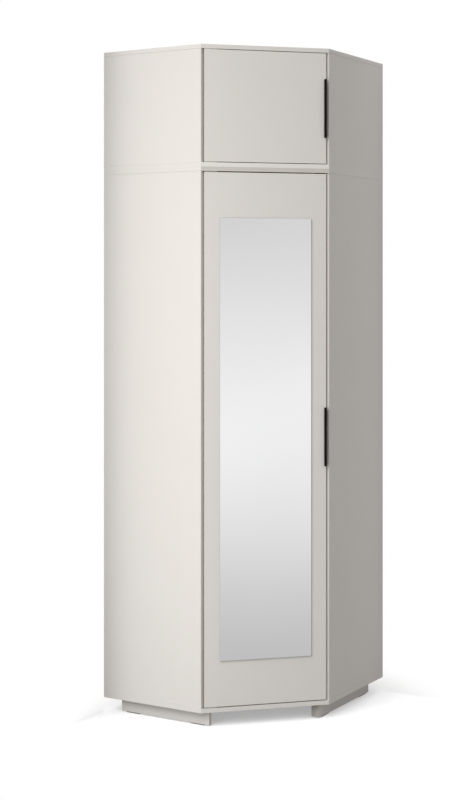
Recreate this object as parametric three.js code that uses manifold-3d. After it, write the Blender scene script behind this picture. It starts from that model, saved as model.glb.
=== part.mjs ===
// Corner wardrobe. A tall lower unit carries a short upper unit, each with one inset
// door across the slanted front. Millimetres, +Z up, the origin under the middle of the whole box.
import * as THREE from 'three';
import { mergeVertices } from 'three/addons/utils/BufferGeometryUtils.js';
import Module from 'manifold-3d';

const wasm = await Module();
wasm.setup();

// Plan, measured along the two back planes
const LEFT_SIDE_DEPTH = 436;
const RIGHT_SIDE_DEPTH = 469;
const FRONT_RUN = 347;

// Heights, from the floor up
const GLIDE_THICKNESS = 3;
const PLINTH_HEIGHT = 51;
const LOWER_CARCASS_HEIGHT = 1998;
const UPPER_CARCASS_HEIGHT = 448;

// Board and sheet stock
const BOARD = 16;
const BACK_SHEET = 3;
const CORNER_POST = 30;

// Clearances
const FIT_GAP = 0.3;
const RUNNING_GAP = 0.3;
const SHELF_GAP = 0.5;
const CUT_OVERRUN = 2;

// Plinth boards and glides
const PLINTH_SIDE_INSET = 36;
const PLINTH_WALL_INSET = 60;
const PLINTH_FRONT_REACH = 13;
const GLIDE_LENGTH = 60;
const GLIDE_END_INSET = 20;
const GLIDE_EDGE_INSET = 1;

// Hat shelf and its pins
const SHELF_HEIGHT = 1742;
const SHELF_SETBACK = 38;
const PIN_RADIUS = 2.4;
const PIN_SHOULDER_RADIUS = 3.2;
const PIN_DEPTH = 9;
const PIN_REACH = 11;
const PIN_FROM_FRONT = 100;
const PIN_FROM_WALL = 60;

// Hanging rail, across the cabinet behind the door
const RAIL_LENGTH = 660;
const RAIL_HEIGHT = 30;
const RAIL_WIDTH = 15;
const RAIL_WALL = 1.2;
const RAIL_DROP = 45;
const RAIL_DEPTH = 250;
const BRACKET_FROM_END = 24;
const BRACKET_THICKNESS = 4;
const BRACKET_WIDTH = 26;
const BRACKET_BELOW = 6;
const BRACKET_FLANGE_LENGTH = 40;
const BRACKET_FLANGE_THICKNESS = 2.5;

// Screws that join the two units
const CONNECTOR_RADIUS = 4;
const CONNECTOR_HEAD_RADIUS = 7.5;
const CONNECTOR_HEAD_THICKNESS = 2;
const CONNECTOR_EDGE_INSET = 70;

// Doors, flush with the slanted front and set between the side panels
const DOOR_THICKNESS = 16;
const DOOR_SIDE_GAP = 1;
const DOOR_END_GAP = 4;

// Mirror, glued to the lower door
const MIRROR_WIDTH = 350;
const MIRROR_HEIGHT = 1625;
const MIRROR_THICKNESS = 4;

// Pivot hinges, one at each end of a door
const PIVOT_FROM_EDGE = 6;
const PIVOT_FROM_FRONT = 5;
const PIVOT_PIN_RADIUS = 2.5;
const PIVOT_PIN_DEPTH = 9;
const LEAF_THICKNESS = 2.4;
const LEAF_LENGTH = 48;
const LEAF_WIDTH = 12.5;
const LEAF_MARGIN = 1.5;
const SOCKET_WALL = 1;
const SOCKET_DEPTH = 12;
const WASHER_WALL = 1.7;

// Edge pulls
const HANDLE_LENGTH = 218;
const HANDLE_NOSE = 7.2;
const HANDLE_PROUD = 10;
const HANDLE_WALL = 1.4;
const HANDLE_FLANGE = 22;
const HANDLE_GROOVE = 1.8;
const HANDLE_ROUND = 1.2;
const SCREW_HEAD_RADIUS = 3.4;
const SCREW_HEAD_THICKNESS = 2.2;
const SCREW_SHANK_RADIUS = 1.7;
const SCREW_LENGTH = 11;
const SCREW_FROM_END = 29;
const SCREW_FROM_EDGE = 13;

// Magnetic catches and their strike plates
const CATCH_LENGTH = 34;
const CATCH_DEPTH = 13;
const CATCH_HEIGHT = 12;
const CATCH_BASE_LENGTH = 54;
const CATCH_BASE_THICKNESS = 2.5;
const CATCH_FROM_EDGE = 60;
const STRIKE_LENGTH = 38;
const STRIKE_HEIGHT = 13;
const STRIKE_THICKNESS = 1.2;

// Facets of round shapes
const ROUND_SIDES = 16;
const RAIL_SIDES = 32;
const CORNER_STEPS = 4;
const GROOVE_STEPS = 8;

// Levels and plan corners worked out from the sizes above
const carcassBase = GLIDE_THICKNESS + PLINTH_HEIGHT;
const lowerTop = carcassBase + LOWER_CARCASS_HEIGHT;
const overallTop = lowerTop + UPPER_CARCASS_HEIGHT;
const halfX = (LEFT_SIDE_DEPTH + FRONT_RUN) / 2;
const halfY = (RIGHT_SIDE_DEPTH + FRONT_RUN) / 2;
const sheetX = -halfX + BACK_SHEET;
const sheetY = halfY - BACK_SHEET;
const frontLeft = new THREE.Vector2(-halfX + LEFT_SIDE_DEPTH, -halfY);
const frontRight = new THREE.Vector2(halfX, halfY - RIGHT_SIDE_DEPTH);
const frontAngle = Math.atan2(frontRight.y - frontLeft.y, frontRight.x - frontLeft.x);
const frontLength = frontLeft.distanceTo(frontRight);
const pinLevel = SHELF_HEIGHT - FIT_GAP - PIN_SHOULDER_RADIUS;
const doorInset = BOARD * Math.SQRT1_2 + DOOR_SIDE_GAP;
const doorWidth = frontLength - 2 * doorInset;

const laminate = new THREE.MeshStandardMaterial({ color: 0xd2cbc3, roughness: 0.5, metalness: 0 });
const fibreboard = new THREE.MeshStandardMaterial({ color: 0xd9d4cc, roughness: 0.7, metalness: 0 });
const pine = new THREE.MeshStandardMaterial({ color: 0xc9a878, roughness: 0.6, metalness: 0 });
const blackAluminium = new THREE.MeshStandardMaterial({ color: 0x17130f, roughness: 0.45, metalness: 0.3 });
const mirrorGlass = new THREE.MeshStandardMaterial({ color: 0xe6e9ea, roughness: 0.03, metalness: 1 });
const darkPlastic = new THREE.MeshStandardMaterial({ color: 0x3a3632, roughness: 0.6, metalness: 0 });
const greyPlastic = new THREE.MeshStandardMaterial({ color: 0xb9b6b0, roughness: 0.5, metalness: 0 });
const steel = new THREE.MeshStandardMaterial({ color: 0x8d8c88, roughness: 0.35, metalness: 1 });
const chrome = new THREE.MeshStandardMaterial({ color: 0xcfd1d2, roughness: 0.12, metalness: 1 });

const wardrobe = new THREE.Group();

// The front's own frame: local x runs along the slanted front from its left corner, local y runs inwards
const front = new THREE.Group();
front.position.set(frontLeft.x, frontLeft.y, 0);
front.rotation.z = frontAngle;
wardrobe.add(front);

function addMesh(parent, name, geometry, material, x, y, z) {
  const mesh = new THREE.Mesh(geometry, material);
  mesh.name = name;
  mesh.position.set(x, y, z);
  parent.add(mesh);
  return mesh;
}

// A box with its low corner at the origin
function slab(sizeX, sizeY, sizeZ) {
  return new THREE.BoxGeometry(sizeX, sizeY, sizeZ).translate(sizeX / 2, sizeY / 2, sizeZ / 2);
}

// A flat outline raised straight up
function prism(shape, height, curveSegments = ROUND_SIDES) {
  return new THREE.ExtrudeGeometry(shape, { depth: height, bevelEnabled: false, curveSegments });
}

// An upright rod that starts at the origin
function rod(radius, height) {
  const upright = new THREE.CylinderGeometry(radius, radius, height, ROUND_SIDES).rotateX(Math.PI / 2);
  return upright.translate(0, 0, height / 2);
}

function toSolid(geometry) {
  const bare = geometry.clone();
  bare.deleteAttribute('normal');
  bare.deleteAttribute('uv');
  const merged = mergeVertices(bare);
  const vertProperties = Float32Array.from(merged.attributes.position.array);
  const triVerts = Uint32Array.from(merged.index.array);
  return new wasm.Manifold(new wasm.Mesh({ numProp: 3, vertProperties, triVerts }));
}

function toGeometry(solid) {
  const mesh = solid.getMesh();
  const geometry = new THREE.BufferGeometry();
  const places = Float32Array.from(mesh.vertProperties);
  geometry.setAttribute('position', new THREE.BufferAttribute(places, mesh.numProp));
  geometry.setIndex(new THREE.BufferAttribute(Uint32Array.from(mesh.triVerts), 1));
  geometry.computeVertexNormals();
  return geometry;
}

function cut(geometry, tools) {
  let solid = toSolid(geometry);
  for (const tool of tools) {
    solid = solid.subtract(toSolid(tool));
  }
  return toGeometry(solid);
}

function join(first, second) {
  return toGeometry(toSolid(first).add(toSolid(second)));
}

// The plan of a top or bottom board: it covers the side panels and ends at the back sheets
function boardShape() {
  const shape = new THREE.Shape();
  shape.moveTo(sheetX, -halfY);
  shape.lineTo(frontLeft.x, frontLeft.y);
  shape.lineTo(frontRight.x, frontRight.y);
  shape.lineTo(halfX, sheetY);
  shape.lineTo(sheetX, sheetY);
  shape.closePath();
  return shape;
}

// The plan of the hat shelf, inside the panels and parallel to the door
function shelfShape() {
  const low = -halfY + BOARD + SHELF_GAP;
  const right = halfX - BOARD - SHELF_GAP;
  const line = frontLeft.x - frontLeft.y - SHELF_SETBACK * Math.SQRT2;
  const shape = new THREE.Shape();
  shape.moveTo(sheetX + SHELF_GAP, low);
  shape.lineTo(line + low, low);
  shape.lineTo(right, right - line);
  shape.lineTo(right, sheetY - SHELF_GAP);
  shape.lineTo(sheetX + SHELF_GAP, sheetY - SHELF_GAP);
  shape.closePath();
  return shape;
}

// Where the shelf pins stand, measured along each side panel from its back end
function pinPlaces(panelLength) {
  return [['front', panelLength - PIN_FROM_FRONT], ['wall', PIN_FROM_WALL]];
}

// The two units' joining screws, near the three back corners of the boards
function connectorPlaces() {
  const inner = BOARD + CONNECTOR_EDGE_INSET;
  return [
    [sheetX + CONNECTOR_EDGE_INSET, -halfY + inner],
    [halfX - inner, sheetY - CONNECTOR_EDGE_INSET],
    [sheetX + CONNECTOR_EDGE_INSET, sheetY - CONNECTOR_EDGE_INSET],
  ];
}

function connectorHoles() {
  const hole = rod(CONNECTOR_RADIUS + FIT_GAP, BOARD + 2 * CUT_OVERRUN);
  return connectorPlaces().map(([x, y]) => hole.clone().translate(x, y, -CUT_OVERRUN));
}

// One unit's carcass: side panels between a bottom and a top board, back sheets behind, a post in the corner
function addCarcass(unit, base, height, shelved) {
  const sideHeight = height - 2 * BOARD;
  const leftLength = LEFT_SIDE_DEPTH - BACK_SHEET;
  const rightLength = RIGHT_SIDE_DEPTH - BACK_SHEET;
  const leftHoles = [];
  const rightHoles = [];
  if (shelved) {
    const hole = rod(PIN_RADIUS + FIT_GAP, PIN_DEPTH + FIT_GAP + CUT_OVERRUN);
    const level = pinLevel - base - BOARD;
    for (const [, along] of pinPlaces(leftLength)) {
      const turned = hole.clone().rotateX(-Math.PI / 2);
      leftHoles.push(turned.translate(along, BOARD - PIN_DEPTH - FIT_GAP, level));
    }
    for (const [, along] of pinPlaces(rightLength)) {
      const turned = hole.clone().rotateY(-Math.PI / 2);
      rightHoles.push(turned.translate(PIN_DEPTH + FIT_GAP, rightLength - along, level));
    }
  }
  const left = cut(slab(leftLength, BOARD, sideHeight), leftHoles);
  const right = cut(slab(BOARD, rightLength, sideHeight), rightHoles);
  addMesh(wardrobe, `${unit}_left_side`, left, laminate, sheetX, -halfY, base + BOARD);
  addMesh(wardrobe, `${unit}_right_side`, right, laminate, halfX - BOARD, frontRight.y, base + BOARD);

  const plain = prism(boardShape(), BOARD);
  const drilled = cut(plain, connectorHoles());
  const bottom = unit === 'upper' ? drilled : plain;
  const top = unit === 'upper' ? plain : drilled;
  addMesh(wardrobe, `${unit}_bottom_board`, bottom, laminate, 0, 0, base);
  addMesh(wardrobe, `${unit}_top_board`, top, laminate, 0, 0, base + height - BOARD);

  const sheetLeft = slab(BACK_SHEET, 2 * halfY - BACK_SHEET, height);
  addMesh(wardrobe, `${unit}_back_left`, sheetLeft, fibreboard, -halfX, -halfY, base);
  const sheetRight = slab(2 * halfX, BACK_SHEET, height);
  addMesh(wardrobe, `${unit}_back_right`, sheetRight, fibreboard, -halfX, sheetY, base);
}

function addPost(name, low, high) {
  const post = slab(CORNER_POST, CORNER_POST, high - low);
  addMesh(wardrobe, name, post, pine, sheetX, sheetY - CORNER_POST, low);
}

// A shelf pin on the y axis: the thin end sits in the panel, the shoulder carries the shelf
function pinGeometry() {
  const profile = [
    new THREE.Vector2(0, -PIN_DEPTH),
    new THREE.Vector2(PIN_RADIUS, -PIN_DEPTH),
    new THREE.Vector2(PIN_RADIUS, FIT_GAP),
    new THREE.Vector2(PIN_SHOULDER_RADIUS, FIT_GAP),
    new THREE.Vector2(PIN_SHOULDER_RADIUS, PIN_REACH),
    new THREE.Vector2(0, PIN_REACH),
  ];
  return new THREE.LatheGeometry(profile, ROUND_SIDES);
}

function addShelf() {
  addMesh(wardrobe, 'hat_shelf', prism(shelfShape(), BOARD), laminate, 0, 0, SHELF_HEIGHT);
  for (const [place, along] of pinPlaces(LEFT_SIDE_DEPTH - BACK_SHEET)) {
    const name = `shelf_pin_left_${place}`;
    addMesh(wardrobe, name, pinGeometry(), steel, sheetX + along, -halfY + BOARD, pinLevel);
  }
  for (const [place, along] of pinPlaces(RIGHT_SIDE_DEPTH - BACK_SHEET)) {
    const name = `shelf_pin_right_${place}`;
    const pin = addMesh(wardrobe, name, pinGeometry(), steel, halfX - BOARD, sheetY - along, pinLevel);
    pin.rotation.z = Math.PI / 2;
  }
}

// An upright oval with its long way along the shape's x
function ovalPath(kind, heightRadius, widthRadius) {
  const path = new kind();
  path.absellipse(0, 0, heightRadius, widthRadius, 0, 2 * Math.PI, false, 0);
  return path;
}

// A flat outline carried along the local x axis, with the shape's x pointing down
function carriedAlongX(shape, length) {
  return prism(shape, length, RAIL_SIDES / 2).rotateY(Math.PI / 2);
}

function addRail() {
  const start = (frontLength - RAIL_LENGTH) / 2;
  const level = SHELF_HEIGHT - RAIL_DROP;
  const section = ovalPath(THREE.Shape, RAIL_HEIGHT / 2, RAIL_WIDTH / 2);
  section.holes.push(ovalPath(THREE.Path, RAIL_HEIGHT / 2 - RAIL_WALL, RAIL_WIDTH / 2 - RAIL_WALL));
  addMesh(front, 'hanging_rail', carriedAlongX(section, RAIL_LENGTH), chrome, start, RAIL_DEPTH, level);

  const bottom = RAIL_HEIGHT / 2 + BRACKET_BELOW;
  const half = BRACKET_WIDTH / 2;
  const web = new THREE.Shape();
  web.moveTo(-RAIL_DROP, -half);
  web.lineTo(bottom - half, -half);
  web.absarc(bottom - half, 0, half, -Math.PI / 2, Math.PI / 2, false);
  web.lineTo(-RAIL_DROP, half);
  web.closePath();
  web.holes.push(ovalPath(THREE.Path, RAIL_HEIGHT / 2 + FIT_GAP, RAIL_WIDTH / 2 + FIT_GAP));
  const ends = [['left', BRACKET_FROM_END], ['right', RAIL_LENGTH - BRACKET_FROM_END - BRACKET_THICKNESS]];
  for (const [end, along] of ends) {
    const plate = slab(BRACKET_FLANGE_LENGTH, BRACKET_WIDTH, BRACKET_FLANGE_THICKNESS);
    const overhang = (BRACKET_FLANGE_LENGTH - BRACKET_THICKNESS) / 2;
    plate.translate(-overhang, -half, RAIL_DROP - BRACKET_FLANGE_THICKNESS);
    const bracket = join(carriedAlongX(web, BRACKET_THICKNESS), plate);
    addMesh(front, `rail_bracket_${end}`, bracket, greyPlastic, start + along, RAIL_DEPTH, level);
  }
}

// A plinth board on edge, along x or along y
function addPlinthBoard(name, alongX, x, y, length) {
  const board = alongX ? slab(length, BOARD, PLINTH_HEIGHT) : slab(BOARD, length, PLINTH_HEIGHT);
  addMesh(wardrobe, name, board, laminate, x, y, GLIDE_THICKNESS);
}

// A glide near each end of a plinth board
function addGlides(alongX, x, y, length, thickness, names) {
  const across = thickness - 2 * GLIDE_EDGE_INSET;
  const places = [GLIDE_END_INSET, length - GLIDE_END_INSET - GLIDE_LENGTH];
  names.forEach((name, index) => {
    const place = places[index];
    const size = alongX ? [GLIDE_LENGTH, across] : [across, GLIDE_LENGTH];
    const at = alongX ? [x + place, y + GLIDE_EDGE_INSET] : [x + GLIDE_EDGE_INSET, y + place];
    addMesh(wardrobe, name, slab(size[0], size[1], GLIDE_THICKNESS), darkPlastic, at[0], at[1], 0);
  });
}

function addPlinth() {
  const wallX = -halfX + PLINTH_WALL_INSET;
  const wallY = halfY - PLINTH_WALL_INSET;
  const leftLength = frontLeft.x + PLINTH_FRONT_REACH - wallX;
  const leftY = -halfY + PLINTH_SIDE_INSET;
  addPlinthBoard('plinth_left', true, wallX, leftY, leftLength);
  addGlides(true, wallX, leftY, leftLength, BOARD, ['glide_left_wall', 'glide_left_front']);
  addPlinthBoard('plinth_rear', true, wallX, wallY - BOARD, leftLength);
  addGlides(true, wallX, wallY - BOARD, leftLength, BOARD, ['glide_rear_wall', 'glide_rear_inner']);

  const rightY = frontRight.y - PLINTH_FRONT_REACH;
  const rightLength = wallY - rightY;
  const outerX = halfX - PLINTH_SIDE_INSET - BOARD;
  addPlinthBoard('plinth_right_outer', false, outerX, rightY, rightLength);
  addPlinthBoard('plinth_right_inner', false, outerX - BOARD, rightY, rightLength);
  addGlides(false, outerX - BOARD, rightY, rightLength, 2 * BOARD, ['glide_right_front', 'glide_right_wall']);
}

// A joining screw through both boards, with a flat head above and below
function addConnectors() {
  const low = lowerTop - BOARD;
  const high = lowerTop + BOARD;
  const profile = [
    new THREE.Vector2(0, -CONNECTOR_HEAD_THICKNESS),
    new THREE.Vector2(CONNECTOR_HEAD_RADIUS, -CONNECTOR_HEAD_THICKNESS),
    new THREE.Vector2(CONNECTOR_HEAD_RADIUS, 0),
    new THREE.Vector2(CONNECTOR_RADIUS, 0),
    new THREE.Vector2(CONNECTOR_RADIUS, high - low),
    new THREE.Vector2(CONNECTOR_HEAD_RADIUS, high - low),
    new THREE.Vector2(CONNECTOR_HEAD_RADIUS, high - low + CONNECTOR_HEAD_THICKNESS),
    new THREE.Vector2(0, high - low + CONNECTOR_HEAD_THICKNESS),
  ];
  connectorPlaces().forEach(([x, y], index) => {
    const screw = new THREE.LatheGeometry(profile, ROUND_SIDES).rotateX(Math.PI / 2);
    addMesh(wardrobe, `unit_connector_${index + 1}`, screw, steel, x, y, low);
  });
}

// A hinge leaf lying flat, drawn from the door's left front corner
function leafShape() {
  const shape = new THREE.Shape();
  shape.moveTo(LEAF_MARGIN, LEAF_MARGIN);
  shape.lineTo(LEAF_MARGIN + LEAF_LENGTH, LEAF_MARGIN);
  shape.lineTo(LEAF_MARGIN + LEAF_LENGTH, LEAF_MARGIN + LEAF_WIDTH);
  shape.lineTo(LEAF_MARGIN, LEAF_MARGIN + LEAF_WIDTH);
  shape.closePath();
  return shape;
}

// The fixed leaf with its pin, lying on a board with the pin up
function pinLeaf() {
  const height = DOOR_END_GAP + PIVOT_PIN_DEPTH;
  const pin = rod(PIVOT_PIN_RADIUS, height).translate(PIVOT_FROM_EDGE, PIVOT_FROM_FRONT, 0);
  return join(prism(leafShape(), LEAF_THICKNESS), pin);
}

// The door's leaf with the socket that the pin turns in, its flat side down
function socketLeaf() {
  const bore = PIVOT_PIN_RADIUS + RUNNING_GAP;
  const profile = [
    new THREE.Vector2(bore, LEAF_THICKNESS / 2),
    new THREE.Vector2(bore + SOCKET_WALL, LEAF_THICKNESS / 2),
    new THREE.Vector2(bore + SOCKET_WALL, SOCKET_DEPTH),
    new THREE.Vector2(bore, SOCKET_DEPTH),
    new THREE.Vector2(bore, LEAF_THICKNESS / 2),
  ];
  const tube = new THREE.LatheGeometry(profile, ROUND_SIDES).rotateX(Math.PI / 2);
  tube.translate(PIVOT_FROM_EDGE, PIVOT_FROM_FRONT, 0);
  const leaf = cut(prism(leafShape(), LEAF_THICKNESS), [boreCutter()]);
  return join(leaf, tube);
}

function boreCutter() {
  const cutter = rod(PIVOT_PIN_RADIUS + RUNNING_GAP, LEAF_THICKNESS + 2 * CUT_OVERRUN);
  return cutter.translate(PIVOT_FROM_EDGE, PIVOT_FROM_FRONT, -CUT_OVERRUN);
}

// What the door's lower end is cut with for the socket leaf
function socketCutters() {
  const pocketHeight = LEAF_THICKNESS + FIT_GAP + CUT_OVERRUN;
  const pocket = slab(LEAF_LENGTH + 2 * FIT_GAP, LEAF_WIDTH + 2 * FIT_GAP, pocketHeight);
  pocket.translate(LEAF_MARGIN - FIT_GAP, LEAF_MARGIN - FIT_GAP, -CUT_OVERRUN);
  const radius = PIVOT_PIN_RADIUS + RUNNING_GAP + SOCKET_WALL + FIT_GAP;
  const hole = rod(radius, SOCKET_DEPTH + FIT_GAP + CUT_OVERRUN);
  hole.translate(PIVOT_FROM_EDGE, PIVOT_FROM_FRONT, -CUT_OVERRUN);
  return [pocket, hole];
}

// A part drawn for the door's lower end, turned over for its upper end
function turnedOver(geometry, height) {
  const flipped = toSolid(geometry).mirror([0, 0, 1]).translate([0, 0, height]);
  return toGeometry(flipped);
}

// The pull's section: a nose with a finger groove, a web round the door's edge and a flange behind it
function handleShape() {
  const edge = doorWidth;
  const back = DOOR_THICKNESS + FIT_GAP;
  const left = edge - HANDLE_NOSE;
  const grooveLow = -FIT_GAP - HANDLE_ROUND;
  const grooveHigh = -HANDLE_PROUD + 2 * HANDLE_ROUND;
  const tip = -HANDLE_PROUD + HANDLE_ROUND;
  const shape = new THREE.Shape();
  shape.moveTo(edge, tip);
  shape.lineTo(edge, back + HANDLE_WALL);
  shape.lineTo(edge - HANDLE_FLANGE, back + HANDLE_WALL);
  shape.lineTo(edge - HANDLE_FLANGE, back);
  shape.lineTo(edge - HANDLE_WALL, back);
  shape.lineTo(edge - HANDLE_WALL, -FIT_GAP);
  shape.lineTo(left, -FIT_GAP);
  for (let step = 0; step <= GROOVE_STEPS; step += 1) {
    const share = step / GROOVE_STEPS;
    const depth = HANDLE_GROOVE * Math.sin(Math.PI * share);
    shape.lineTo(left + depth, grooveLow + (grooveHigh - grooveLow) * share);
  }
  shape.lineTo(left, tip);
  shape.absarc(left + HANDLE_ROUND, tip, HANDLE_ROUND, Math.PI, 1.5 * Math.PI, false);
  shape.absarc(edge - HANDLE_ROUND, tip, HANDLE_ROUND, 1.5 * Math.PI, 2 * Math.PI, false);
  return shape;
}

function screwPlaces(doorHeight) {
  const low = (doorHeight - HANDLE_LENGTH) / 2;
  return [low + SCREW_FROM_END, low + HANDLE_LENGTH - SCREW_FROM_END];
}

// A screw hole along the local y axis, from behind the pull's flange into the door
function screwHole(level) {
  const length = SCREW_LENGTH + FIT_GAP + CUT_OVERRUN;
  const hole = rod(SCREW_SHANK_RADIUS + FIT_GAP, length).rotateX(-Math.PI / 2);
  const start = DOOR_THICKNESS + FIT_GAP + HANDLE_WALL - SCREW_LENGTH - FIT_GAP;
  return hole.translate(doorWidth - SCREW_FROM_EDGE, start, level);
}

function screwGeometry() {
  const profile = [
    new THREE.Vector2(0, -SCREW_LENGTH),
    new THREE.Vector2(SCREW_SHANK_RADIUS, -SCREW_LENGTH),
    new THREE.Vector2(SCREW_SHANK_RADIUS, FIT_GAP),
    new THREE.Vector2(SCREW_HEAD_RADIUS, FIT_GAP),
    new THREE.Vector2(SCREW_HEAD_RADIUS, FIT_GAP + SCREW_HEAD_THICKNESS),
    new THREE.Vector2(0, FIT_GAP + SCREW_HEAD_THICKNESS),
  ];
  return new THREE.LatheGeometry(profile, ROUND_SIDES);
}

// The notch in the door's edge that the pull's web is let into
function handleNotch(doorHeight) {
  const depth = HANDLE_WALL + FIT_GAP + CUT_OVERRUN;
  const notch = slab(depth, DOOR_THICKNESS + 2 * CUT_OVERRUN, HANDLE_LENGTH + 2 * FIT_GAP);
  const low = (doorHeight - HANDLE_LENGTH) / 2 - FIT_GAP;
  return notch.translate(doorWidth - HANDLE_WALL - FIT_GAP, -CUT_OVERRUN, low);
}

// A door with everything that swings with it; the leaf frame starts at its lower left front corner
function addDoor(unit, low, height) {
  const leaf = new THREE.Group();
  leaf.position.set(doorInset, 0, low);
  front.add(leaf);

  const lowCutters = socketCutters();
  const highCutters = lowCutters.map((tool) => turnedOver(tool, height));
  const screwLevels = screwPlaces(height);
  const cutters = [...lowCutters, ...highCutters, handleNotch(height), ...screwLevels.map(screwHole)];
  const panel = cut(slab(doorWidth, DOOR_THICKNESS, height), cutters);
  addMesh(leaf, `${unit}_door`, panel, laminate, 0, 0, 0);

  addMesh(leaf, `${unit}_bottom_socket_leaf`, socketLeaf(), steel, 0, 0, 0);
  addMesh(leaf, `${unit}_top_socket_leaf`, turnedOver(socketLeaf(), height), steel, 0, 0, 0);

  const handleLow = (height - HANDLE_LENGTH) / 2;
  const holes = screwLevels.map((level) => screwHole(level - handleLow));
  const handle = cut(prism(handleShape(), HANDLE_LENGTH, CORNER_STEPS), holes);
  addMesh(leaf, `${unit}_handle`, handle, blackAluminium, 0, 0, handleLow);
  const behind = DOOR_THICKNESS + FIT_GAP + HANDLE_WALL;
  screwLevels.forEach((level, index) => {
    const name = `${unit}_handle_screw_${index + 1}`;
    addMesh(leaf, name, screwGeometry(), steel, doorWidth - SCREW_FROM_EDGE, behind, level);
  });

  const strike = slab(STRIKE_LENGTH, STRIKE_THICKNESS, STRIKE_HEIGHT);
  const strikeX = doorWidth - CATCH_FROM_EDGE - STRIKE_LENGTH / 2;
  const strikeZ = height - CATCH_BASE_THICKNESS - STRIKE_HEIGHT;
  addMesh(leaf, `${unit}_strike`, strike, steel, strikeX, DOOR_THICKNESS + FIT_GAP, strikeZ);
  return leaf;
}

function addMirror(leaf, height) {
  const glass = slab(MIRROR_WIDTH, MIRROR_THICKNESS, MIRROR_HEIGHT);
  const low = (height - MIRROR_HEIGHT) / 2;
  const side = (doorWidth - MIRROR_WIDTH) / 2;
  addMesh(leaf, 'door_mirror', glass, mirrorGlass, side, -FIT_GAP - MIRROR_THICKNESS, low);
}

// The fixed half of a door's hardware: pin leaves on the boards, the washer under the door, the catch
function addDoorHardware(unit, boardTop, boardUnder) {
  addMesh(front, `${unit}_bottom_pivot_leaf`, pinLeaf(), steel, doorInset, 0, boardTop);
  const upper = turnedOver(pinLeaf(), 0);
  addMesh(front, `${unit}_top_pivot_leaf`, upper, steel, doorInset, 0, boardUnder);

  const inner = PIVOT_PIN_RADIUS + RUNNING_GAP;
  const thick = DOOR_END_GAP - LEAF_THICKNESS - RUNNING_GAP;
  const profile = [
    new THREE.Vector2(inner, 0),
    new THREE.Vector2(inner + WASHER_WALL, 0),
    new THREE.Vector2(inner + WASHER_WALL, thick),
    new THREE.Vector2(inner, thick),
    new THREE.Vector2(inner, 0),
  ];
  const washer = new THREE.LatheGeometry(profile, ROUND_SIDES).rotateX(Math.PI / 2);
  const washerX = doorInset + PIVOT_FROM_EDGE;
  const washerZ = boardTop + LEAF_THICKNESS;
  addMesh(front, `${unit}_thrust_washer`, washer, darkPlastic, washerX, PIVOT_FROM_FRONT, washerZ);

  const ear = (CATCH_BASE_LENGTH - CATCH_LENGTH) / 2;
  const shape = new THREE.Shape();
  shape.moveTo(0, 0);
  shape.lineTo(0, -CATCH_BASE_THICKNESS);
  shape.lineTo(ear, -CATCH_BASE_THICKNESS);
  shape.lineTo(ear, -CATCH_BASE_THICKNESS - CATCH_HEIGHT);
  shape.lineTo(ear + CATCH_LENGTH, -CATCH_BASE_THICKNESS - CATCH_HEIGHT);
  shape.lineTo(ear + CATCH_LENGTH, -CATCH_BASE_THICKNESS);
  shape.lineTo(CATCH_BASE_LENGTH, -CATCH_BASE_THICKNESS);
  shape.lineTo(CATCH_BASE_LENGTH, 0);
  shape.closePath();
  const body = prism(shape, CATCH_DEPTH).rotateX(Math.PI / 2);
  const catchX = doorInset + doorWidth - CATCH_FROM_EDGE - CATCH_BASE_LENGTH / 2;
  const catchY = DOOR_THICKNESS + FIT_GAP + STRIKE_THICKNESS + RUNNING_GAP + CATCH_DEPTH;
  addMesh(front, `${unit}_catch`, body, greyPlastic, catchX, catchY, boardUnder);
}

function addDoorWay(unit, base, height) {
  const boardTop = base + BOARD;
  const boardUnder = base + height - BOARD;
  addDoorHardware(unit, boardTop, boardUnder);
  const doorHeight = boardUnder - boardTop - 2 * DOOR_END_GAP;
  const leaf = addDoor(unit, boardTop + DOOR_END_GAP, doorHeight);
  return { leaf, doorHeight };
}

addPlinth();
addCarcass('lower', carcassBase, LOWER_CARCASS_HEIGHT, true);
addPost('lower_corner_post', carcassBase + BOARD, SHELF_HEIGHT);
addPost('shelf_corner_post', SHELF_HEIGHT + BOARD, lowerTop - BOARD);
addShelf();
addRail();
addCarcass('upper', lowerTop, UPPER_CARCASS_HEIGHT, false);
addPost('upper_corner_post', lowerTop + BOARD, overallTop - BOARD);
addConnectors();
const lowerDoor = addDoorWay('lower', carcassBase, LOWER_CARCASS_HEIGHT);
addMirror(lowerDoor.leaf, lowerDoor.doorHeight);
addDoorWay('upper', lowerTop, UPPER_CARCASS_HEIGHT);

export default wardrobe;
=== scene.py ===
"""Corner wardrobe with a mirrored door: looks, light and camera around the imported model.

Sizes held by the classes are in millimetres; meshes are in metres in the wardrobe's own frame.
The slanted front has a frame of its own: u runs along the front from its left corner, v runs inwards.
"""

import logging
import math
from collections.abc import Callable, Iterable, Mapping, Sequence
from dataclasses import dataclass
from enum import Enum

import bmesh
import bpy
from mathutils import Matrix, Vector


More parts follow.
